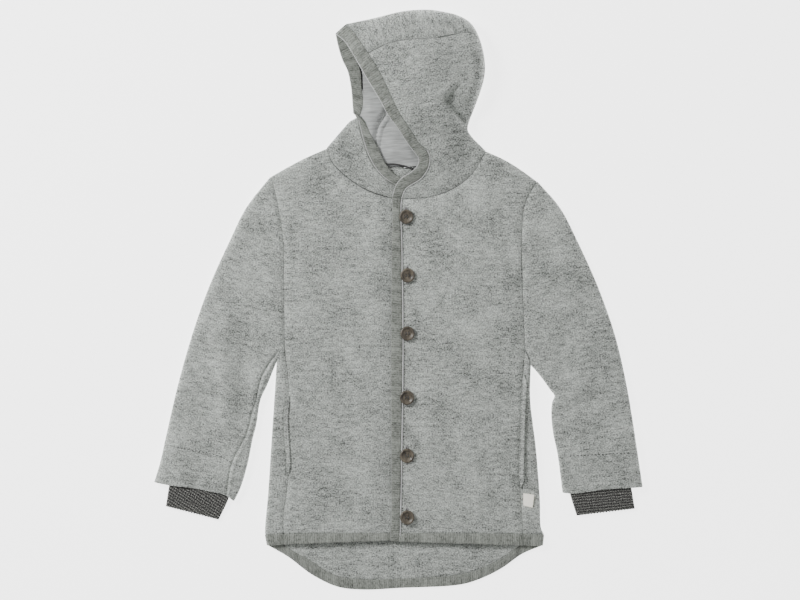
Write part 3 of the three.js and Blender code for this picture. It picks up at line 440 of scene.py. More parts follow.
def flap_height(place):
    """The collar rounds down to its fold and lies on the covered front."""
    fold = quarter_round(distance_to(collar_samples, place) / SHOULDER_RUN)
    return mix(fold_middle(FRONT), covered_level(place) + relief(place), fold)


# %% [markdown]
# ## Sheets and walls
# A garment piece is a sheet with a thickness. The sheet is a grid of points between four lines, and
# its heights come from the functions above. The wall is the sheet moved out and in by half the
# cloth, closed by a rounded rim. That is quicker and steadier than a Solidify modifier, and the rim
# catches light along each seam as a cut and turned edge does.

# %% Grids between four lines
TURN = 1 - np.cos(np.linspace(0, np.pi / 2, 6))  # even angles round a fold
FOLD_LIMIT = 0.7  # the folds take at most this share of a row


def stations(width, near=0.0, far=0.0, even=10):
    """Shares across each row: close together over the folds at its two ends and even between."""
    width = np.maximum(np.atleast_1d(width), 1.0)[:, None]
    fit = np.minimum(1, FOLD_LIMIT * width / max(near + far, 1e-9))
    start, end = near * fit / width, 1 - far * fit / width
    parts = [TURN[:-1] * start] if near else []
    parts.append(start + (end - start) * np.linspace(0, 1, even + 1))
    if far:
        parts.append((1 - TURN[:-1] * (1 - end))[:, ::-1])
    return np.hstack(parts)


def patch_grid(near, far, first, last, spacing, rows, height):
    """A Coons patch: the blend of near and far, plus that of first and last, less that of the corners."""
    rows = np.asarray(rows, float)
    us = stations(np.linalg.norm(near(rows) - far(rows), axis=-1), **spacing)
    vs = np.broadcast_to(rows[:, None], us.shape)
    u, v = us[..., None], vs[..., None]
    ends = near(vs) * (1 - u) + far(vs) * u + first(us) * (1 - v) + last(us) * v
    corners = (first(0.0) * (1 - u) + first(1.0) * u) * (1 - v) + (last(0.0) * (1 - u) + last(1.0) * u) * v
    plan = ends - corners
    return np.dstack([plan, height(plan)])


# %% Sheets from grids, and their walls
def triangles_of(ids, upward=True):
    """Two triangles for each cell of a grid of vertex numbers."""
    a, b, c, d = (part.ravel() for part in (ids[:-1, :-1], ids[:-1, 1:], ids[1:, 1:], ids[1:, :-1]))
    faces = np.vstack([np.stack([a, b, c], 1), np.stack([a, c, d], 1)])
    return faces if upward else faces[:, ::-1]


def numbered(rows, columns, start=0):
    """Vertex numbers for a grid, row by row."""
    return start + np.arange(rows * columns).reshape(rows, columns)


def sheet_of(*grids):
    """One sheet of triangles from (grid, faces up); points in the same place become one.

    Where two layers touch in a fold's last sliver, their back-to-back triangles are left out.
    """
    points = np.vstack([grid.reshape(-1, 3) for grid, _ in grids])
    faces, start = [], 0
    for grid, upward in grids:
        ids = numbered(*grid.shape[:2], start)
        faces.append(triangles_of(ids, upward))
        start += ids.size
    _, first, names = np.unique(np.round(points, 3), axis=0, return_index=True, return_inverse=True)
    faces = names.reshape(-1)[np.vstack(faces)]
    distinct = (faces[:, 0] != faces[:, 1]) & (faces[:, 1] != faces[:, 2]) & (faces[:, 2] != faces[:, 0])
    faces = faces[distinct]
    _, kinds, uses = np.unique(np.sort(faces, axis=1), axis=0, return_inverse=True, return_counts=True)
    return points[first], faces[uses[kinds.reshape(-1)] == 1]


def unit(vectors):
    """Each vector divided by its length."""
    return vectors / np.maximum(np.linalg.norm(vectors, axis=-1, keepdims=True), 1e-12)


def normals_of(points, faces):
    """Each point's normal is the mean of its faces' normals, weighted by their areas."""
    a, b, c = (points[faces[:, k]] for k in range(3))
    tilt = np.cross(b - a, c - a)
    normals = np.zeros_like(points)
    for k in range(3):
        np.add.at(normals, faces[:, k], tilt)
    return unit(normals)


def border_of(faces, count):
    """Directed edges with cloth on one side only."""
    edges = np.vstack([faces[:, [0, 1]], faces[:, [1, 2]], faces[:, [2, 0]]])
    alone = ~np.isin(edges[:, 0] * count + edges[:, 1], edges[:, 1] * count + edges[:, 0])
    return edges[alone]


RIM_ANGLES, RIM_BULGE = np.radians([45, 90, 135]), 0.8


def wall_of(points, faces, thickness, gap=SEAM_GAP, offset=0.0):
    """A closed wall: the sheet moved half its thickness each way, with a rounded rim along its border."""
    count, half = len(points), thickness / 2
    normals = normals_of(points, faces)
    points = points + normals * offset
    border = border_of(faces, count)
    along = unit(points[border[:, 1]] - points[border[:, 0]])
    pull = np.zeros_like(points)
    for end in (0, 1):
        np.add.at(pull, border[:, end], unit(np.cross(normals[border[:, end]], along)))
    size = np.maximum((pull**2).sum(-1, keepdims=True), 1e-9)
    inset = gap + RIM_BULGE * half
    moved = points + np.where(size > 1e-6, pull * np.minimum(2 * inset / size, inset), 0)
    edge = np.unique(border)
    place_in_edge = np.full(count, -1)
    place_in_edge[edge] = np.arange(len(edge))
    out = -unit(pull[edge])
    rings = [moved[edge] + half * (normals[edge] * np.cos(angle) + out * RIM_BULGE * np.sin(angle))
             for angle in RIM_ANGLES]
    ring_borders = [2 * count + k * len(edge) + place_in_edge[border] for k in range(len(rings))]
    layers = [border, *ring_borders, border + count]
    strips = []
    for upper, lower in zip(layers[:-1], layers[1:]):
        strips.append(np.stack([upper[:, 1], upper[:, 0], lower[:, 0]], 1))
        strips.append(np.stack([upper[:, 1], lower[:, 0], lower[:, 1]], 1))
    vertices = np.vstack([moved + normals * half, moved - normals * half, *rings])
    vertices[:, 2] = np.maximum(vertices[:, 2], 0)
    source = np.concatenate([np.arange(count), np.arange(count), *[edge] * len(rings)])
    return vertices, np.vstack([faces, faces[:, ::-1] + count, *strips]), source


# %% Meshes
def in_scene(name, data):
    """An object that holds the data, linked to the scene."""
    made = bpy.data.objects.new(name, data)
    bpy.context.scene.collection.objects.link(made)
    return made


def make_mesh(name, vertices, faces, uv, material, nodes=()):
    """A mesh object at the origin, in metres, with one UV point for each vertex."""
    mesh = bpy.data.meshes.new(name)
    mesh.vertices.add(len(vertices))
    mesh.vertices.foreach_set("co", ((vertices - CENTRE) * 0.001).ravel())
    mesh.loops.add(faces.size)
    mesh.loops.foreach_set("vertex_index", faces.ravel().astype(np.int32))
    mesh.polygons.add(len(faces))
    mesh.polygons.foreach_set("loop_start", np.arange(0, faces.size, 3, dtype=np.int32))
    layer = mesh.uv_layers.new(name="cloth")
    layer.data.foreach_set("uv", uv[faces.ravel()].ravel())
    mesh.polygons.foreach_set("use_smooth", np.ones(len(faces), bool))
    mesh.update(calc_edges=True)
    mesh.validate()
    mesh.materials.append(material)
    piece = in_scene(name, mesh)
    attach(piece, "root")
    if nodes:
        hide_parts(*nodes)
    print(f"{name}: {len(faces)} triangles")
    return piece


def plan_uv(points, angle=0.0, shift=(0.0, 0.0)):
    """UV in metres: the plan turned so that the knit's courses run along U."""
    turn = np.radians(angle)
    u = points[:, 0] * np.cos(turn) + points[:, 1] * np.sin(turn)
    v = -points[:, 0] * np.sin(turn) + points[:, 1] * np.cos(turn)
    return np.stack([u, v], 1) * 0.001 + 0.5 + np.asarray(shift)


def flat_area(points, faces):
    """The cut's area in square metres: the sum of the sheet's triangles."""
    a, b, c = (points[faces[:, k]] for k in range(3))
    return float(np.linalg.norm(np.cross(b - a, c - a), axis=1).sum() / 2 * 1e-6)


# %% [markdown]
# ## Materials
# Boiled wool is knitted and then felted: the stitches close up, dark and light fibres blend into a
# speckled grey with streaks along the knit's courses, and a fine fuzz stands over it. A photograph
# can't be used, so the colour is mixed from noise at three scales: fibres, streaks and clouds. A
# small class lets the mixing be written as sums and products.

# %% Shader values that can be added and multiplied
class Value:
    """A number that varies over a surface; arithmetic on it adds Math nodes."""

    def __init__(self, shader, socket):
        self.shader, self.socket = shader, socket

    def _math(self, operation, *values, clamp=False):
        settings = {"operation": operation, "use_clamp": clamp}
        return self.shader.node("ShaderNodeMath", settings, dict(enumerate(values)))

    def __add__(self, other):
        return self._math("ADD", self, other)

    __radd__ = __add__

    def __sub__(self, other):
        return self._math("SUBTRACT", self, other)

    def __rsub__(self, other):
        return self._math("SUBTRACT", other, self)

    def __mul__(self, other):
        return self._math("MULTIPLY", self, other)

    __rmul__ = __mul__

    def sine(self):
        """The sine of the value, for rows and ribs."""
        return self._math("SINE", self)

    def clamped(self):
        """The value held between 0 and 1."""
        return self._math("ADD", self, 0.0, clamp=True)


class Shader:
    """A material with a Principled surface, and one method for all its other nodes."""

    def __init__(self, name, **constants):
        self.material = bpy.data.materials.new(name)
        self.material.use_nodes = True
        self.tree = self.material.node_tree
        self.surface = self.tree.nodes["Principled BSDF"]
        for socket, value in constants.items():
            self.surface.inputs[socket.replace("_", " ")].default_value = value

    def node(self, kind, settings=None, inputs=None, output=0):
        """Adds a node with its settings and inputs, and gives one of its outputs."""
        made = self.tree.nodes.new(kind)
        for key, value in (settings or {}).items():
            setattr(made, key, value)
        for key, value in (inputs or {}).items():
            if isinstance(value, Value):
                self.tree.links.new(value.socket, made.inputs[key])
            else:
                made.inputs[key].default_value = value
        return Value(self, made.outputs[output])

    def uv(self, stretch_u=1.0, stretch_v=1.0):
        """The piece's own UV in metres, stretched."""
        place = self.node("ShaderNodeUVMap", {"uv_map": "cloth"})
        return self.node("ShaderNodeMapping", None, {"Vector": place, "Scale": (stretch_u, stretch_v, 1.0)})

    def noise(self, place, scale, detail=2.0, rough=0.5):
        """Noise about zero, from about -0.5 to 0.5."""
        inputs = {"Vector": place, "Scale": scale, "Detail": detail, "Roughness": rough}
        return self.node("ShaderNodeTexNoise", None, inputs) - 0.5

    def split(self, place):
        """The three parts of a place."""
        parts = self.tree.nodes.new("ShaderNodeSeparateXYZ")
        self.tree.links.new(place.socket, parts.inputs[0])
        return [Value(self, socket) for socket in parts.outputs]

    def mixed(self, factor, low, high):
        """A colour between two colours."""
        inputs = {0: factor, 6: low, 7: high}
        return self.node("ShaderNodeMix", {"data_type": "RGBA"}, inputs, output=2)

    def finish(self, colour=None, height=None, depth=0.0004, strength=0.5):
        """Links the colour, and a bump as deep as given in metres where there is a height."""
        if colour is not None:
            self.tree.links.new(colour.socket, self.surface.inputs["Base Color"])
        if height is not None:
            inputs = {"Height": height, "Distance": depth, "Strength": strength}
            bump = self.node("ShaderNodeBump", None, inputs)
            self.tree.links.new(bump.socket, self.surface.inputs["Normal"])
        print("material:", self.material.name, len(self.tree.nodes), "nodes")
        return self.material


def grey(level, tint=(1.0, 1.0, 1.0)):
    """A screen grey of 0 to 255 as a linear colour."""
    c = level / 255
    linear = c / 12.92 if c <= 0.04045 else ((c + 0.055) / 1.055) ** 2.4
    return tuple(linear * t for t in tint) + (1.0,)


# %% Boiled wool and the inside of the hood
COOL, GREENISH, JERSEY_TINT = (0.975, 1.03, 0.965), (0.975, 1.03, 0.93), (0.98, 1.01, 0.99)


def boiled_wool(name, middle, spread):
    """Grey fibres speckled with darker and lighter ones, in streaks along the courses and soft clouds."""
    wool = Shader(name, Roughness=0.95, Specular_IOR_Level=0.25, Sheen_Weight=0.12, Sheen_Roughness=0.6)
    fibre = wool.noise(wool.uv(0.85, 1.0), 620, 1.5, 0.7)
    streak = wool.noise(wool.uv(0.42, 1.0), 230, 3.0, 0.6)
    cloud = wool.noise(wool.uv(0.8, 1.0), 26, 3.0, 0.55)
    blend = (0.52 + fibre * 2.4 + streak * 1.3 + cloud * 0.85).clamped()
    colour = wool.mixed(blend, grey(middle - spread, COOL), grey(middle + spread, COOL))
    fuzz = wool.noise(wool.uv(0.8, 1.0), 1000, 2.0, 0.7)
    return wool.finish(colour, fibre * 0.8 + fuzz * 0.6 + streak * 0.4, depth=0.0014, strength=0.7)


wool = boiled_wool("boiled_wool", 163, 68)
# The hood is the same wool as the body, given a darker grey: painted shade for the hood's shaded folds.
wool_hood_shaded = boiled_wool("boiled_wool_hood_shaded", 154, 68)

jersey = Shader("hood_jersey", Roughness=0.9, Specular_IOR_Level=0.25, Sheen_Weight=0.1, Sheen_Roughness=0.6)
rows = (jersey.split(jersey.uv())[1] * 3900 + jersey.noise(jersey.uv(0.5, 1.0), 160) * 3.0).sine()
streaks = jersey.noise(jersey.uv(0.12, 1.0), 420, 2.0)
tone = (0.5 + rows * 0.12 + streaks * 1.6).clamped()
lining_cloth = jersey.finish(jersey.mixed(tone, grey(156, JERSEY_TINT), grey(222, JERSEY_TINT)), rows,
                             depth=0.0003)

# %% Knit binding and rib cuffs
def knit_binding(name, middle, spread):
    """A fine rib knit: ridges across the strip, over a melange of grey fibres."""
    knit = Shader(name, Roughness=0.95, Specular_IOR_Level=0.25, Sheen_Weight=0.1, Sheen_Roughness=0.6)
    ridges = (knit.split(knit.uv())[0] * 2200 + knit.noise(knit.uv(), 60) * 2.0).sine()
    fibre = knit.noise(knit.uv(1.0, 0.6), 560, 2.0, 0.7)
    blocks = knit.noise(knit.uv(1.0, 0.3), 150, 2.0, 0.6)
    blend = (0.5 + ridges * 0.10 + fibre * 1.9 + blocks * 1.4).clamped()
    colour = knit.mixed(blend, grey(middle - spread, GREENISH), grey(middle + spread, GREENISH))
    return knit.finish(colour, ridges * 0.35 + fibre, depth=0.0006, strength=0.55)


binding_knit = knit_binding("binding_knit", 134, 42)
hem_knit = knit_binding("hem_binding_knit", 138, 42)

rib = Shader("rib_knit", Roughness=0.9, Specular_IOR_Level=0.3, Sheen_Weight=0.1, Sheen_Roughness=0.6)
across, along, _ = rib.split(rib.uv())
wander = rib.noise(rib.uv(), 110) * 5.0
courses = (along * 1750 + across * 620 + wander).sine()
dashes = (across * 2050 - along * 500 + wander).sine()
flecks = rib.noise(rib.uv(0.8, 1.3), 760, 2.0, 0.7)
purl = (0.2 + courses * 0.19 + (courses * dashes) * 0.15 + flecks * 2.4).clamped()
rib_knit = rib.finish(rib.mixed(purl, grey(30, (1, 1, 0.95)), grey(196, (1, 1, 0.94))),
                      courses + dashes * 0.6, depth=0.0009, strength=0.7)

# %% Horn buttons, thread and label
horn = Shader("horn_surface", Roughness=0.42, Specular_IOR_Level=0.5, Coat_Weight=0.45, Coat_Roughness=0.3)
veins = horn.noise(horn.uv(1.0, 0.4), 260, 4.0, 0.6)
mottle = horn.noise(horn.uv(), 90, 2.0)
horn_button = horn.finish(horn.mixed((0.4 + veins * 1.6 + mottle).clamped(),
                                     grey(30, (1.22, 0.98, 0.7)), grey(128, (1.16, 0.99, 0.74))))


def thread(name, level):
    """Spun thread: fine turns along its length."""
    spun = Shader(name, Roughness=0.85, Specular_IOR_Level=0.3)
    across_thread, along_thread, _ = spun.split(spun.uv())
    turns = (along_thread * 5200 + across_thread * 900).sine()
    colour = spun.mixed((0.5 + turns * 0.35).clamped(), grey(level - 22), grey(level + 14))
    return spun.finish(colour, turns, depth=0.0002, strength=0.6)


# The light thread paints highlights on ridges and band edges. The dark one is stitches and also painted shade
# in seam grooves, slits and at the back neck. The mid one is buttonhole stitches and also a painted highlight
# on the placket band's edge.
thread_light_highlight, thread_mid_and_highlight = thread("thread_light_highlight", 214), thread("thread_mid_and_highlight", 160)
thread_dark_and_shade, thread_brown = thread("thread_dark_and_shade", 84), thread("thread_brown", 100)

# The ribbon glows faintly: painted light that makes the label brighter; it is no lamp.
ribbon = Shader("label_ribbon", Roughness=0.8, Specular_IOR_Level=0.3,
                Emission_Color=(1.0, 0.95, 0.82, 1.0), Emission_Strength=0.6)
warp, weft, _ = ribbon.split(ribbon.uv())
weave = (warp * 9000).sine() * 0.5 + (weft * 9000).sine() * 0.5
slubs = (0.6 + weave * 0.2 + ribbon.noise(ribbon.uv(), 300) * 0.3).clamped()
label_ribbon = ribbon.finish(ribbon.mixed(slubs, grey(238, (1.0, 0.97, 0.86)), grey(253, (1.0, 0.975, 0.89))),
                             weave, depth=0.0002, strength=0.3)

# %% [markdown]
# ## Cloth pieces
# Each panel is a call with its grids, its grain and the size that it was cut to. The grain matters:
# the streaks of the knit run across the body, but across each sleeve they follow the sleeve's slant.

# %% A piece of cloth
cloth_pieces = {}


def cloth_piece(name, grids, material, slot, thickness=CLOTH, angle=0.0, shift=(0.0, 0.0), uv=None, **wall):
    """One panel: its sheet, wall and mesh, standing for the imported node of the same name."""
    points, faces = sheet_of(*grids)
    vertices, triangles, source = wall_of(points, faces, thickness, **wall)
    coordinates = plan_uv(points, angle, shift) if uv is None else uv(points)
    piece = make_mesh(name + "_cloth", vertices, triangles, coordinates[source], material, [name])
    cloth_pieces[name] = (piece, flat_area(points, faces))
    return piece


def declare(name, flat):
    piece, area = cloth_pieces[name]
    share = area / (flat[0] * flat[1])
    print(f"{name}: cut {flat[0]:.3f} by {flat[1]:.3f} m, area {area:.4f}, share {share:.2f}")


# %% Fronts
SIDE_SHARE, ARMPIT_SHARE, SHOULDER_PART = 0.52, 0.06, 0.36
side_steps = np.linspace(0, 1, 84)
armhole_length = np.linalg.norm(np.subtract(seam_top_right, tip_right))
armhole_steps = stations(armhole_length, far=SHOULDER_RUN, even=44)[0]
body_rows = np.concatenate([side_steps * SIDE_SHARE, mix(SIDE_SHARE, 1, armhole_steps[1:])])


def front_grid(name, centre_line, height):
    """A front from its side (u 0) to its centre edge (u 1), rows from hem to shoulder."""
    outer = chain((L["side_" + name], SIDE_SHARE), (L["armhole_" + name], 1 - SIDE_SHARE))
    top = chain((L["shoulder_" + name], SHOULDER_PART), (L["neck_" + name], 1 - SHOULDER_PART))
    return patch_grid(outer, centre_line, L["hem_" + name], top, {"even": 72}, body_rows, height)


fronts = {"right": front_grid("right", L["under"], covered_height),
          "left": front_grid("left", L["placket"], covering_height)}
cloth_piece("front_right", [(fronts["right"], True)], wool, "wool")
cloth_piece("front_left", [(fronts["left"], False)], wool, "wool", shift=(0.3, 0.2))

# %% Back, with its wraps round both sides
wrap_spacing = {"near": FOLD_RUN, "even": 10}
back_rows = np.concatenate([
    side_steps * SIDE_SHARE,
    SIDE_SHARE + ARMPIT_SHARE * np.linspace(0, 1, 5)[1:],
    mix(SIDE_SHARE + ARMPIT_SHARE, 1, armhole_steps[1:]),
])
BACK_SHOULDER = 0.21


def back_side(name):
    """One side of the back: its fold, then the armpit, then the armhole."""
    return chain((L["fold_" + name], SIDE_SHARE), (L["armpit_edge_" + name], ARMPIT_SHARE),
                 (L["armhole_" + name], 1 - SIDE_SHARE - ARMPIT_SHARE))


def wrap_grid(name):
    """The part of the back that comes round to the side seam on the front."""
    fold, seam = L["fold_" + name], L["side_" + name]
    start, end = fold(0.0), seam(0.0)

    def hem(u):
        return start + (end - start) * np.asarray(u, float)[..., None]

    return patch_grid(fold, seam, hem, L["armpit_edge_" + name], wrap_spacing, side_steps, wrap_height)


back_top = chain(
    (L["shoulder_right"], BACK_SHOULDER), (L["neck_back_right"], 0.5 - BACK_SHOULDER),
    (reverse(L["neck_back_left"]), 0.5 - BACK_SHOULDER), (reverse(L["shoulder_left"]), BACK_SHOULDER))
back_under = patch_grid(back_side("right"), back_side("left"), L["hem_back"], back_top,
                        {"near": FOLD_RUN, "far": FOLD_RUN, "even": 90}, back_rows, back_height)
wraps = {name: wrap_grid(name) for name in ("right", "left")}
cloth_piece("back", [(back_under, False), (wraps["right"], True), (wraps["left"], False)], wool, "wool",
            shift=(0.1, 0.4))

# %% Sleeves: two layers that meet at the folds
ARMHOLE_PART, ARMPIT_PART = 0.51, 0.05
SLEEVE_END_FLAT, SLEEVE_RISE, SLEEVE_EASE = 45, 40, 25
GROOVE_DEEP, GROOVE_WIDE, RIDGE_TALL, RIDGE_WIDE = 1.9, 1.7, 0.8, 2.0
sleeve_rows = np.concatenate([
    ARMHOLE_PART * (1 - armhole_steps)[::-1],
    ARMHOLE_PART + ARMPIT_PART * np.linspace(0, 1, 5)[1:],
    mix(ARMHOLE_PART + ARMPIT_PART, 1, np.linspace(0, 1, 84)[1:]),
])
underarm_samples = sampled(smooth_line([
    [-148.4, -65.9], [-159.5, -80.3], [-169.6, -97.8], [-173.4, -112.1], [-176.8, -128], [-180.9, -140.8],
    [-188.4, -169.5], [-198.8, -188.6], [-206.3, -204.6], [-210.3, -222.1], [-213.4, -244.4]]), 60)


def underarm_seam(place):
    """The right sleeve's underarm seam lies on top: a groove with a soft ridge beside it."""
    gap = distance_to(underarm_samples, place)
    beside = distance_to(underarm_samples + np.array([3.0, -1.0]), place)
    return RIDGE_TALL * bell(beside, RIDGE_WIDE) - GROOVE_DEEP * bell(gap, GROOVE_WIDE)


def sleeve_grids(name, upward):
    """A sleeve's upper and lower layer, which share their two folds."""
    near, far, last = L["outer_" + name], L["inner_" + name], L["sleeve_end_" + name]
    inner = chain((reverse(L["armhole_" + name]), ARMHOLE_PART),
                  (reverse(L["armpit_edge_" + name]), ARMPIT_PART), (far, 1 - ARMHOLE_PART - ARMPIT_PART))
    outer_samples, inner_samples, end = sampled(near, 80), sampled(far, 80), sampled(last, 30)
    start = np.vstack([sampled(L["armhole_" + name], 40), sampled(L["armpit_edge_" + name], 10)])

    def rounds(place, outer_run):
        return (quarter_round(distance_to(outer_samples, place) / outer_run)
                * quarter_round(distance_to(inner_samples, place) / FOLD_RUN))

    def level(place):
        return mix(SLEEVE_END, FRONT, smooth((distance_to(end, place) - SLEEVE_END_FLAT) / SLEEVE_RISE))

    def upper(place):
        at, ease = level(place), smooth(distance_to(start, place) / SLEEVE_EASE)
        top = at + folds_at(place, soft_folds) * ease + relief(place)
        if name == "right":
            top = top + underarm_seam(place)
        return mix(fold_middle(at), top, rounds(place, SHOULDER_RUN))

    def lower(place):
        return mix(fold_middle(level(place)), BACK, rounds(place, FOLD_RUN))

    edges = (near, inner, at_point(near(0.0)), last)
    spacing = {"near": SHOULDER_RUN, "far": FOLD_RUN, "even": 100}
    return [(patch_grid(*edges, spacing, sleeve_rows, upper), upward),
            (patch_grid(*edges, spacing, sleeve_rows, lower), not upward)]


sleeves = {"right": sleeve_grids("right", False), "left": sleeve_grids("left", True)}
cloth_piece("sleeve_right", sleeves["right"], wool, "wool", angle=-14)
cloth_piece("sleeve_left", sleeves["left"], wool, "wool", angle=8, shift=(0.2, 0.1))

# %% Rib cuffs
CUFF_RUN, CUFF_LOW, CUFF_HIGH = 1.8, 3.1, 5.4
CUFF_BULGE, SCALLOPS, SCALLOP_DEEP = 3.2, 19, 0.55
DROP_START, DROP_RUN, DROP_DEPTH = 0.62, 0.3, 2.3  # past the sleeve's end the cuff comes down


def cuff_grids(name, upward):
    """A cuff's two layers: a flat tube of rib whose end shows a small bow for each ridge."""
    outer_top, outer_end, inner_top, inner_end = (np.array(corner, float) for corner in cuff_corners[name])
    across_cuff = (inner_end - outer_end) / np.linalg.norm(inner_end - outer_end)
    inner_middle = (inner_top + inner_end) / 2 + across_cuff * CUFF_BULGE
    near, far = smooth_line([outer_top, outer_end]), smooth_line([inner_top, inner_middle, inner_end])
    sides = [sampled(near, 20), sampled(far, 60)]
    length = np.linalg.norm(outer_end - outer_top)
    axis = (outer_end - outer_top) / length

    def layer(level):
        def height(place):
            share = (place - outer_top) @ axis / length
            drop = DROP_DEPTH * smooth((share - DROP_START) / DROP_RUN)
            first, second = (quarter_round(distance_to(side, place, 0.02) / CUFF_RUN) for side in sides)
            return mix((CUFF_LOW + CUFF_HIGH) / 2, level, first * second) - drop
        return height

    straight_end = smooth_line([outer_end, inner_end])

    def scalloped(u):
        u = np.asarray(u, float)
        bows = np.sin(2 * np.pi * SCALLOPS * u) * np.sin(np.pi * u)
        return straight_end(u) + axis * (SCALLOP_DEEP * bows)[..., None]

    edges = (near, far, smooth_line([outer_top, inner_top]), scalloped)
    spacing = {"near": CUFF_RUN, "far": CUFF_RUN, "even": 110}
    rows_down = np.linspace(0, 1, 40)
    return [(patch_grid(*edges, spacing, rows_down, layer(CUFF_HIGH)), upward),
            (patch_grid(*edges, spacing, rows_down, layer(CUFF_LOW)), not upward)]


cloth_piece("cuff_right", cuff_grids("right", False), rib_knit, "rib", thickness=CUFF, angle=-14)
cloth_piece("cuff_left", cuff_grids("left", True), rib_knit, "rib", thickness=CUFF, angle=25)

# %% [markdown]
# ## The hood
# The hood has two sides and a long strip over the middle. It lies on its right side, so the strip
# turns under at the rim, and the right side shows only its inner face, and its lower part folded
# over to the front as the collar.

# %% Hood panels
rim_front, rim_back = stretch(L["rim"], 0, crown_share), stretch(L["rim"], crown_share, 1)
hood_spacing = {"near": RIM_RUN, "even": 64}
hood_rows = np.linspace(0, 1, 110)
crown_row = stations(np.linalg.norm(crown_end - face_corner), **hood_spacing)[0]
crown_rows = (1 - crown_row)[::-1]
under_rows = np.concatenate([crown_rows * crown_share, mix(crown_share, 1, hood_rows[1:])])
FLAP_SHARE = 0.62
flap_start = under_rows[np.abs(under_rows - FLAP_SHARE).argmin()]
flap_rows = (under_rows[under_rows >= flap_start] - flap_start) / (1 - flap_start)

face_and_fold = chain((L["face_under"], flap_start), (L["collar_fold"], 1 - flap_start))
under_spacing = {"near": FOLD_RUN, "even": 48}
hood = {
    "side": patch_grid(rim_back, L["face"], reverse(L["upper_seam"]), L["neck_left"],
                       hood_spacing, hood_rows, hood_height),
    "crown": patch_grid(rim_front, L["upper_seam"], L["face_top"], at_point(crown_end),
                        {"near": RIM_RUN, "even": 20}, crown_rows, hood_height),
    "crown_under": patch_grid(L["rim"], L["lower_seam"], L["face_under_top"], L["neck_back_left"],
                              under_spacing, under_rows, hood_under_height),
    "under": patch_grid(face_and_fold, L["lower_seam"], at_point(under_corner), L["neck_back_right"],
                        under_spacing, under_rows, hood_under_height),
    "flap": patch_grid(L["collar_fold"], L["flap_face"], at_point(flap_tip), L["neck_right"],
                       {"near": SHOULDER_RUN, "even": 36}, flap_rows, flap_height),
}
cloth_piece("hood_side_left", [(hood["side"], True)], wool_hood_shaded, "wool", angle=12)
cloth_piece("hood_centre", [(hood["crown"], True), (hood["crown_under"], False)], wool_hood_shaded, "wool",
            angle=-70, shift=(0.2, 0.3))
cloth_piece("hood_side_right", [(hood["under"], True), (hood["flap"], False)], wool_hood_shaded, "wool",
            angle=-20, shift=(0.4, 0.1))

# %% Jersey lining inside the hood
THROAT, OFF_TURN = 0.45, 6
CREASE_RISE, CREASE_GENTLE, CREASE_STEEP = 3.8, 24, 9
LIP_TALL, LIP_AT, LIP_WIDE = 1.9, 2.4, 1.7
CREASE_SPAN_X, CREASE_SPAN_Y = (-46, 30, 14, 16), (168, 262, 20, 24)  # start, end and both runs
lining_crease = sampled(smooth_line(
    [[-9, 243], [-13.5, 229.6], [-22.5, 215], [-26.9, 193.8], [-29, 180]]), 40)


def lining_fold(place):
    """Inside the opening the jersey lies in a crease: it climbs gently on the right, steeply on the left."""
    nearest = ((place[..., None, :] - lining_crease) ** 2).sum(-1).argmin(-1)
    offset = place[..., 0] - lining_crease[nearest, 0]
    right = CREASE_RISE * smooth(offset / CREASE_GENTLE) + LIP_TALL * bell(offset - LIP_AT, LIP_WIDE)
    left = CREASE_RISE * smooth(-offset / CREASE_STEEP)
    inside = between(place[..., 0], *CREASE_SPAN_X) * between(place[..., 1], *CREASE_SPAN_Y)
    return np.where(offset > 0, right, left) * inside


last_full = np.flatnonzero(under_rows < flap_start)[-1]
lined = {
    "side": hood["side"][hood_rows < THROAT],
    "crown": hood["crown"],
    "crown_under": hood["crown_under"].copy(),
    "under": hood["under"][:last_full + 1].copy(),
    "under_flap": hood["under"][last_full:, OFF_TURN:].copy(),
}
for part in ("crown_under", "under", "under_flap"):
    lined[part][..., 2] += lining_fold(lined[part][..., :2])
cloth_piece("hood_lining", [(grid, part != "crown_under") for part, grid in lined.items()], lining_cloth,
            "lining", thickness=LINING, angle=4, gap=1.0, offset=-(CLOTH / 2 + LINING_CLEAR + LINING / 2))

# %% [markdown]
# ## Bindings
# Every free edge is bound with a strip of fine rib knit. Each strip runs from its seam on the cloth
# to its own free edge, so it is a grid between two lines, a little thicker in the middle. Its UV
# follows the strip, so the small ribs always cross it.

# %% Strips of knit
STRIP_WIDTH, STRIP_COLUMNS = 12.5, 9


def shares_of(points):
    """Each point's share of the whole way along the row, in plan."""
    runs = runs_of(points[:, :2])
    return runs / runs[-1]


def binding(name, seam, edge, upward, material, thickness=BINDING, puff=0.35):
    """A strip from its seam to its free edge, puffed up along its middle."""
    across = np.linspace(0, 1, STRIP_COLUMNS)[None, :, None]
    strip = seam[:, None] * (1 - across) + edge[:, None] * across
    strip[..., 2] += puff * np.sin(np.pi * across[..., 0])
    strip[..., 2] = np.maximum(strip[..., 2], thickness / 2)
    along, span = np.broadcast_arrays(runs_of(seam)[:, None], STRIP_WIDTH * across[..., 0])
    _, first = np.unique(np.round(strip.reshape(-1, 3), 3), axis=0, return_index=True)
    table = np.stack([along.ravel(), span.ravel()], 1)[first] * 0.001
    return cloth_piece(name, [(strip, upward)], material, "binding", thickness=thickness,
                       uv=lambda points: table, gap=TIGHT_GAP)


def lift(plan, height):
    """Plan points with a height each."""
    return np.column_stack([plan[:, :2], height(plan[:, :2])])


def level_at(value):
    """The same height everywhere."""
    return lambda place: np.full(len(place), value)


def dense_rows(seam, edge, count):
    """The same two lines with more rows, even along the seam."""
    shares, even = shares_of(seam), np.linspace(0, 1, count)
    return tuple(np.stack([np.interp(even, shares, line[:, k]) for k in range(3)], 1)
                 for line in (seam, edge))


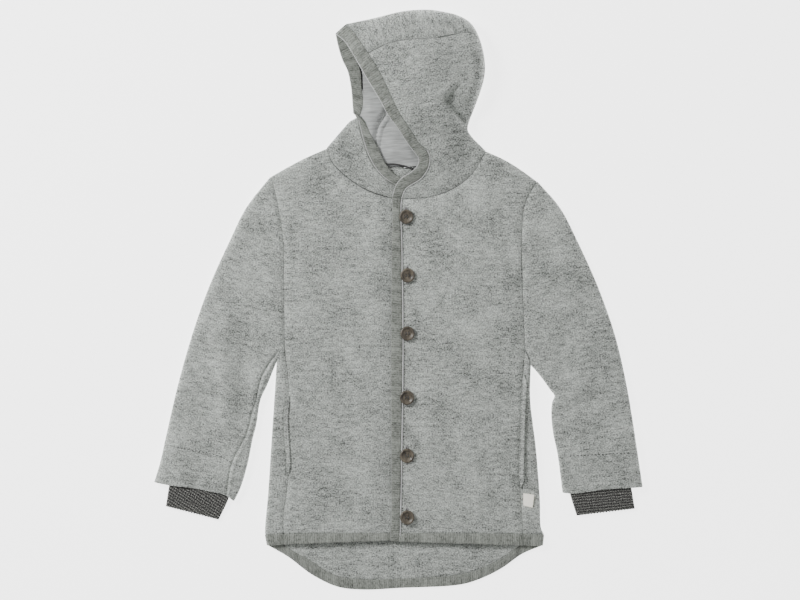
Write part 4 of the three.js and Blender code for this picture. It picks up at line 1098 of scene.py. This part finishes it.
BAND_LIFT, HEM_CURL, CURL_RUN = 0.4, 1.4, 30
band_foot = np.array([[[2.0, -302.6]], [[-8.5, -302.3]]])  # over the hem's own binding
placket_seam = lift(np.vstack([band_foot[0], fronts["left"][:, -1, :2]]), level_at(PLACKET - BAND_LIFT / 2))
placket_edge = lift(np.vstack([band_foot[1], L["placket_edge"](body_rows)]), level_at(PLACKET))
band_left = binding("binding_front_left", *dense_rows(placket_seam, placket_edge, 220), False, binding_knit)
band_right = binding("binding_front_right", *dense_rows(
    fronts["right"][:, -1], lift(L["under_edge"](body_rows), level_at(UNDER)), 220), True, binding_knit,
    thickness=BINDING - BAND_LIFT, puff=0)


def hem_strip(seam, edge_line, height):
    """A seam with its free edge, read at the seam's own pace."""
    return seam, lift(edge_line(shares_of(seam)), height)


def curled(height):
    """The front's hem curls up a little along its middle, so that it throws a shadow on the back."""
    start, end = lines["hem_right"][0][0], lines["hem_left"][0][0]
    return lambda place: height(place) + HEM_CURL * between(place[:, 0], start, end, CURL_RUN)


hem_right = binding("hem_binding_front_right", *dense_rows(
    *hem_strip(fronts["right"][0], L["hem_edge_right"], curled(covered_level)), 90), True, hem_knit)
hem_left = binding("hem_binding_front_left", *dense_rows(
    *hem_strip(fronts["left"][0], L["hem_edge_left"], curled(level_at(FRONT))), 90), False, hem_knit)
wrap_hems = {name: hem_strip(wraps[name][0], smooth_line([corner, lines["hem_edge_" + name][0]]), wrap_height)
             for name, corner in (("right", hem_corner_right), ("left", hem_corner_left))}
hem_parts = [
    tuple(line[::-1] for line in wrap_hems["right"]),
    tuple(line[1:-1] for line in hem_strip(back_under[0], L["hem_edge_back"], back_height)),
    wrap_hems["left"],
]
hem_seam, hem_edge = (np.vstack([part[k] for part in hem_parts]) for k in (0, 1))
hem_back = binding("hem_binding_back", hem_seam, hem_edge, False, hem_knit)

# %% The hood's binding: up the throat, round the face and down the flap
THROAT_SEAM, THROAT_EDGE = 0.3, 0.277  # where the throat's turn is on the seam and on the free edge
THROAT_PART = 0.36  # the share of the hood's face that has a light seam thread


def paced_edge(share):
    """The free edge turns sooner than the seam at the throat."""
    return L["edge"](np.interp(share, [0, THROAT_SEAM, 1], [0, THROAT_EDGE, 1]))


upper_seam = np.vstack([hood["side"][::-1, -1], hood["crown"][0, :-1][::-1]])
upper_edge = lift(paced_edge(shares_of(upper_seam)), hood_height)
lower_seam = np.vstack([hood["crown_under"][0, 1:], hood["under"][under_rows < flap_start, 0][1:]])
lower_shares = shares_of(np.vstack([upper_seam[-1:], lower_seam]))[1:]
lower_edge = lift(L["edge_under"](lower_shares), hood_under_height)
turn_seam, turn_edge = hood["flap"][0, :1], np.array([[-49, 229, 12.5]])
flap_seam = hood["flap"][1:, -1]
flap_edge = lift(L["flap_edge"](shares_of(flap_seam)), covered_level)
hood_band = binding("binding_hood", *dense_rows(
    np.vstack([upper_seam, lower_seam, turn_seam, flap_seam]),
    np.vstack([upper_edge, lower_edge, turn_edge, flap_edge]), 420), False, binding_knit)

# %% [markdown]
# ## Small parts
# Buttons are turned from horn: a dished face inside a raised rim, with four holes. A polar grid gives
# the whole face in one formula. Stitches are short fat threads, each a small closed tube.

# %% Buttons
BUTTON_RADIUS, BUTTON_TALL, BUTTON_CLEAR, BUTTON_TURN = 9.0, 3.2, 0.3, 0.35
DISH, HOLE_AT, HOLE_DEEP = 1.7, 1.7, 0.9
HOLES = [(x, y) for x in (HOLE_AT, -HOLE_AT) for y in (HOLE_AT, -HOLE_AT)]
button_base = PLACKET + (BINDING - BAND_LIFT) / 2 + BUTTON_CLEAR


def button_face(x, y):
    """Height of the face: a dish, a round rim and four sunk holes."""
    r = np.hypot(x, y) / BUTTON_RADIUS
    rise = smooth((r - 0.52) / 0.28) - 1 + quarter_round((1 - r) / 0.16)
    holes = sum(bell((x - hx) ** 2 + (y - hy) ** 2, 0.75) for hx, hy in HOLES)
    return DISH + (BUTTON_TALL - DISH) * rise - HOLE_DEEP * holes


def make_button(number, centre):
    """A polar grid for the face and the back, with a fan of triangles at each pole."""
    radii = np.concatenate([np.linspace(0.02, 0.55, 26), np.linspace(0.57, 1.0, 22)]) * BUTTON_RADIUS
    angles = np.linspace(0, 2 * np.pi, 65)[:-1] + number * BUTTON_TURN
    r, a = np.meshgrid(radii, angles, indexing="ij")
    x, y = r * np.cos(a), r * np.sin(a)
    top = np.stack([x, y, button_face(x, y)], -1)
    scale, z = np.array([(1.0, 0.9), (0.96, 0.35), (0.86, 0.0), (0.4, 0.0), (0.02, 0.0)]).T
    below = np.stack([*(np.outer(scale * BUTTON_RADIUS, turn) for turn in (np.cos(angles), np.sin(angles))),
                      np.repeat(z[:, None], len(angles), axis=1)], -1)
    grid = np.concatenate([top, below])
    ids = numbered(*grid.shape[:2])
    first, last = ids[0], ids[-1]
    caps = [np.stack([np.full_like(first, ids.size), first, np.roll(first, -1)], 1),
            np.stack([np.full_like(last, ids.size + 1), np.roll(last, -1), last], 1)]
    local = np.vstack([grid.reshape(-1, 3), [0, 0, button_face(0, 0)], [0, 0, 0]])
    faces = np.vstack([triangles_of(np.hstack([ids, ids[:, :1]]), False), *caps])
    return make_mesh(f"button_{number}_horn", local + np.array([*centre, button_base]), faces,
                     local[:, :2] * 0.001 + 0.1 * number, horn_button, [f"button_{number}"])


buttons = [make_button(i + 1, place) for i, place in enumerate(button_places)]

# %% Tubes for thread
THREAD_END = 0.35  # a thread's last ring is drawn in to this share


def tube(path, radius, sides=8, squash=1.0):
    """A closed tube along a path; each ring is a circle across the path, pressed flat by squash."""
    path = np.asarray(path, float)
    ahead = unit(np.gradient(path, axis=0))
    across = unit(np.cross(ahead, [0, 0, 1.0]))
    up = np.cross(across, ahead)
    turn = np.linspace(0, 2 * np.pi, sides, endpoint=False)
    sizes = np.full(len(path), radius)
    sizes[[0, -1]] *= THREAD_END
    ring = across[:, None] * np.cos(turn)[:, None] + up[:, None] * np.sin(turn)[:, None] * squash
    points = path[:, None] + ring * sizes[:, None, None]
    ids = numbered(len(path), sides)
    fan = np.arange(1, sides - 1)
    last = ids[-1]
    faces = [triangles_of(np.hstack([ids, ids[:, :1]]), False),
             np.stack([np.zeros_like(fan), fan, fan + 1], 1),
             np.stack([np.full_like(fan, last[0]), last[fan + 1], last[fan]], 1)]
    uv = np.stack(np.broadcast_arrays(turn * radius, runs_of(path)[:, None]), -1)
    return points.reshape(-1, 3), np.vstack(faces), uv.reshape(-1, 2) * 0.001


def thread_piece(name, parts, material):
    """Several tubes as one piece."""
    points, faces, uvs = zip(*parts)
    starts = np.cumsum([0] + [len(part) for part in points[:-1]])
    faces = np.vstack([part + start for part, start in zip(faces, starts)])
    return make_mesh(name, np.vstack(points), faces, np.vstack(uvs), material)


# %% Threads through the buttons' holes
def bar(centre, x):
    """One thread bar: up out of a hole, over the dish and down into the next one."""
    t = np.linspace(-1, 1, 9)
    path = np.stack([np.full(9, x), t * HOLE_AT, 1.1 + 0.85 * np.sqrt(np.maximum(1 - t**4, 0))], 1)
    return path + np.array([*centre, button_base])


bars = [tube(bar(place, x), 0.45) for place in button_places for x in (-HOLE_AT, HOLE_AT)]
button_threads = thread_piece("button_threads", bars, thread_brown)

# %% Buttonholes: two rows of satin stitch round a flat dark tube, the painted shade of the slit
SLOT_HALF, SLOT_UP, SLOT_LEFT = 11.2, 0.8, 0.3  # half its length, and how far it is off the button
SLOT_WIDE, SLOT_RISE, LOOP_POWER = 1.5, 0.15, 0.35  # the power keeps the loop's long sides straight


def stadium(centre, half, width, z, count=60):
    """A long loop: two straight sides and two half circles."""
    t = np.linspace(0, 2 * np.pi, count)
    x = width * np.cos(t)
    y = np.sign(np.sin(t)) * (half - width) * np.abs(np.sin(t)) ** LOOP_POWER + width * np.sin(t)
    return np.stack([centre[0] + x, centre[1] + y, np.full(count, z)], 1)


loops, slit_shades = [], []
for x, y in button_places:
    z = covering_height(np.array([[x, y]]))[0] + CLOTH / 2 + SLOT_RISE
    x, y = x - SLOT_LEFT, y + SLOT_UP
    loops.append(tube(stadium((x, y), SLOT_HALF, SLOT_WIDE, z), 0.7, squash=0.7))
    # A flat dark tube down the middle stands for the shade in the slit: painted shade.
    slit = np.stack([np.full(12, x), y + np.linspace(-1, 1, 12) * (SLOT_HALF - 1.4), np.full(12, z)], 1)
    slit_shades.append(tube(slit, 0.75, squash=0.3))
hole_stitches = thread_piece("buttonhole_stitches", loops, thread_mid_and_highlight)
slit_shade_tubes = thread_piece("buttonhole_slit_shade", slit_shades, thread_dark_and_shade)

# %% Light tubes beside and along the bindings, raised ridges and edges coloured as painted highlights, and a dark tube of painted shadow at the back neck
def ridge(plan, height, radius, above, every=1.2):
    """A tube lying on the cloth along a plan line, a raised ridge whose light colour is a painted highlight;
    a short row of points is smoothed first.
    """
    if len(plan) < 40:
        plan = smooth_line(plan, 4)(np.linspace(0, 1, max(int(runs_of(plan)[-1] / every), 8)))
    return tube(lift(plan, lambda place: height(place) + CLOTH / 2 + above), radius)


def beside(plan, distance):
    """A plan line moved sideways, to the right of its direction."""
    ahead = unit(np.gradient(plan, axis=0))
    return plan + np.stack([ahead[:, 1], -ahead[:, 0]], 1) * distance


placket_plan = placket_seam[:, :2]
face_plan = hood["side"][::-1, -1, :2]
throat_plan = face_plan[:int(len(face_plan) * THROAT_PART)]
# Raised ridges beside the bindings' seams, coloured light as painted highlights.
seam_ridge_highlights = thread_piece("seam_ridge_highlights", [
    ridge(beside(placket_plan, 1.5), covering_height, 0.75, 0.4),
    ridge(beside(throat_plan, 1.3), hood_height, 0.5, 0.3),
    ridge(beside(hood["flap"][2:, -1, :2], -1.4), flap_height, 0.5, 0.3),
], thread_light_highlight)


def band_edge_highlight(edge, radius=0.6, above=0.45):
    """A light tube along a binding's free edge: its folded edge, coloured light as a painted highlight."""
    even = smooth_line(edge, 6)(np.linspace(0, 1, max(int(len(edge) * 1.2), 60)))
    even[:, 2] += above
    return tube(even, radius)


def across_band(place, half, turned):
    """A light tube across the hood's band, where its two ends are joined: the join's ridge with a painted
    highlight.
    """
    t = np.linspace(-half, half, 9)
    plan = np.stack([place[0] + t * np.cos(turned), place[1] + t * np.sin(turned)], 1)
    return tube(lift(plan, lambda spot: hood_height(spot) + BINDING / 2 + 0.45), 0.42)


# Light tubes along the hood band's free edges and across its join: painted highlights.
hood_edge_highlights = thread_piece("hood_band_edge_highlight", [
    band_edge_highlight(upper_edge, 0.55), band_edge_highlight(lower_edge, 0.5),
    across_band((-14.6, 246.4), 5.0, 0.56), across_band((-12.9, 243.8), 5.0, 0.56)], thread_light_highlight)
# A dark tube along the back neck seam, under the lining's lower edge: painted shadow of the lining's edge.
neck_plan = sampled(smooth_line([[-20, 167.6], [-3.1, 168.2], [9.4, 165.6], [20, 162.0]]), 24)
neck_shadow_tube = thread_piece("neck_shadow_tube", [tube(lift(neck_plan, level_at(4.5)), 1.15)], thread_dark_and_shade)
# A light tube along the placket band's free edge: painted highlight.
placket_band_edge_highlight = thread_piece("placket_band_edge_highlight", [band_edge_highlight(placket_edge, 0.4, 0.5)],
                                 thread_mid_and_highlight)

# %% Dark tubes at the bottom of the seams: painted shade in their grooves
def sunk_shade_line(name, height, low=0.0, high=1.0, radius=0.42):
    """A dark tube a little below the cloth's face along a share of a seam: painted shade of the groove."""
    plan = L[name](np.linspace(low, high, 90))
    return tube(lift(plan, lambda place: height(place) + CLOTH / 2 - 0.45), radius)


# Dark tubes along the seams: painted shade of the seam grooves.
seam_shade_lines = thread_piece("seam_shade_lines", [
    sunk_shade_line("upper_seam", hood_height, 0.01, 0.97),
    sunk_shade_line("neck_left", covering_height, 0.02, 0.97),
    sunk_shade_line("neck_right", covered_height, 0.05, 0.80),
    sunk_shade_line("armhole_left", covering_height, 0.0, 0.5, 0.3),
    sunk_shade_line("armhole_right", covered_height, 0.0, 0.5, 0.3),
], thread_dark_and_shade)

# %% Rows of stitches
def stitch_row(plan, height, length=2.6, gap=1.4, radius=0.42, share=0.55):
    """Short threads end to end along a line, half sunk in the cloth; every stitch is one small tube."""
    line = smooth_line(plan)
    total = runs_of(sampled(line, 200))[-1]
    bow = radius * (share * np.sin(np.linspace(0, np.pi, 5)) - 0.7)
    starts = np.arange(int(total / (length + gap))) * (length + gap) / total
    stitches = [line(start + np.linspace(0, length / total, 5)) for start in starts]
    return [tube(np.column_stack([spots, height(spots) + bow]), radius, sides=6) for spots in stitches]


def sleeve_top(name):
    """The height of a sleeve's outer face, taken from the nearest point of its upper grid."""
    flat_grid = sleeves[name][0][0].reshape(-1, 3)

    def height(place):
        gaps = ((place[:, None] - flat_grid[None, :, :2]) ** 2).sum(-1)
        return flat_grid[gaps.argmin(1), 2] + CLOTH / 2
    return height


right_hem = [[-275, -185.3], [-248, -190], [-221.9, -196.3], [-205.6, -205], [-193, -210.6]]
left_hem = [[214, -196], [250, -194], [292, -192]]
sleeve_stitches = thread_piece(
    "sleeve_hem_stitches", stitch_row(right_hem, sleeve_top("right"), 3.0, 1.5, 0.6)
    + stitch_row(left_hem, sleeve_top("left"), 3.0, 1.5, 0.6), thread_dark_and_shade)
placket_row = stitch_row(beside(placket_plan, 3.6)[::8], lambda p: covering_height(p) + CLOTH / 2,
                         1.5, 3.0, 0.45)
placket_stitches = thread_piece("placket_stitches", placket_row, thread_dark_and_shade)

# %% Edges of the two pockets that open in the side seams
WELT, WELT_END = 1.5, 12
WELT_NARROW, WELT_SINK = 0.35, 0.7  # its width's share, and how deep it goes, at both ends
pocket_folds = {"right": (-2.8, 3.0, 0.5), "left": (-1.0, 5.2, 1.8)}  # its two edges from the seam, and rise


def pocket_edge(side):
    """The front's folded edge over the seam: a strip that rises to its free edge and tapers at both ends."""
    low, high = pockets[side]
    first, last, rise = pocket_folds[side]
    seam = sampled(L["side_" + side], 400)
    seam = seam[(seam[:, 1] > low) & (seam[:, 1] < high)]
    across = np.linspace(0, 1, 9)
    span = between(seam[:, 1], low, high, WELT_END)[:, None]
    plan = np.stack([seam[:, :1] + mix(first, last, across) * mix(WELT_NARROW, 1, span),
                     np.repeat(seam[:, 1:], 9, axis=1)], -1)
    over = distance_to(sampled(L["side_" + side], 60), plan)
    free = across if side == "left" else 1 - across
    z = front_height(plan, FRONT) + (CLOTH + WELT) / 2 - seam_dip(over)
    return np.dstack([plan, z + rise * smooth(free) * span - WELT_SINK * (1 - span)])


pocket_grids = {side: pocket_edge(side) for side in pockets}
pocket_points, pocket_faces = sheet_of(*[(grid, True) for grid in pocket_grids.values()])
pocket_walls, pocket_triangles, pocket_source = wall_of(pocket_points, pocket_faces, WELT)
pocket_edges = make_mesh("pocket_edges", pocket_walls, pocket_triangles,
                         plan_uv(pocket_points, shift=(0.15, 0.35))[pocket_source], wool)


def pocket_stitches(side):
    """The row of stitches that holds the folded edge down."""
    grid = pocket_grids[side][6:-6, 1 if side == "left" else -2]
    return stitch_row(grid[::6, :2], lambda p: np.interp(p[:, 1], grid[:, 1], grid[:, 2]) + WELT / 2,
                      2.2, 1.1)


pocket_threads = thread_piece("pocket_stitches", pocket_stitches("right") + pocket_stitches("left"),
                              thread_dark_and_shade)

# %% The blank ribbon label
LABEL_START, LABEL_LONG, LABEL_BOW = 157, 13, 0.25


def label_height(place):
    """The ribbon lies on the cloth with one low bow along it."""
    share = (place[..., 0] - LABEL_START) / LABEL_LONG
    return FRONT + (CLOTH + LABEL) / 2 + LINING_CLEAR + LABEL_BOW * np.sin(share * np.pi)


label_sides = [smooth_line([label_corners[i], label_corners[j]]) for i, j in ((0, 1), (2, 3), (0, 2), (1, 3))]
label_grid = patch_grid(*label_sides, {"even": 24}, np.linspace(0, 1, 24), label_height)
side_label = cloth_piece("side_label", [(label_grid, False)], label_ribbon, "label", thickness=LABEL, angle=8)

# %% [markdown]
# ## Cut sizes
# The area is that of the sheet's own middle surface, which is taken as not stretched.

declare("front_right", (0.175, 0.485))
declare("front_left", (0.175, 0.482))
declare("back", (0.40, 0.545))
declare("sleeve_right", (0.26, 0.44))
declare("sleeve_left", (0.26, 0.42))
declare("cuff_right", (0.165, 0.064))
declare("cuff_left", (0.16, 0.062))
declare("hood_side_left", (0.16, 0.235))
declare("hood_centre", (0.19, 0.34))
declare("hood_side_right", (0.14, 0.29))
declare("hood_lining", (0.30, 0.38))

# %% [markdown]
# ## Floor, light and camera
# A pale sweep, one broad key light from the upper left and an even sky give the soft, almost
# shadowless light of a catalogue picture. The camera looks straight down from far away.

# %% Floor
floor_shader = Shader("pale_floor", Roughness=0.9, Base_Color=(0.93, 0.93, 0.93, 1.0), Specular_IOR_Level=0.1,
                      Emission_Color=(1.0, 1.0, 1.0, 1.0), Emission_Strength=3.2)
FLOOR_REACH, FLOOR_LEVEL = 6.0, -0.0002
floor_mesh = bpy.data.meshes.new("floor")
floor_mesh.from_pydata([(x * FLOOR_REACH, y * FLOOR_REACH, FLOOR_LEVEL)
                        for x, y in ((-1, -1), (1, -1), (1, 1), (-1, 1))], [], [(0, 1, 2, 3)])
floor_mesh.materials.append(floor_shader.finish())
in_scene("floor", floor_mesh)

# %% Light
world = bpy.data.worlds.new("soft_sky")
world.use_nodes = True
sky = world.node_tree.nodes["Background"].inputs
sky["Color"].default_value = (1.0, 1.0, 1.0, 1.0)
sky["Strength"].default_value = 0.33
bpy.context.scene.world = world


def area_light(name, place, size, power):
    """A square soft light at a place, turned to the origin."""
    data = bpy.data.lights.new(name, "AREA")
    data.size, data.energy = size, power
    lamp = in_scene(name, data)
    lamp.location = place
    x, y, z = np.array(place) / np.linalg.norm(place)
    lamp.rotation_euler = (np.arccos(z), 0.0, np.arctan2(y, x) + np.pi / 2)


area_light("key", (-1.8, 1.1, 1.4), 0.7, 62)
area_light("fill", (1.8, 0.4, 1.6), 1.2, 8)

# %% Camera
camera_data = bpy.data.cameras.new("camera")
camera_data.lens, camera_data.sensor_width = 144.0, 36.0
camera = in_scene("camera", camera_data)
camera.location = (0.00198, -0.00031, 4.0)
bpy.context.scene.camera = camera

# %% The end
bpy.context.view_layer.update()
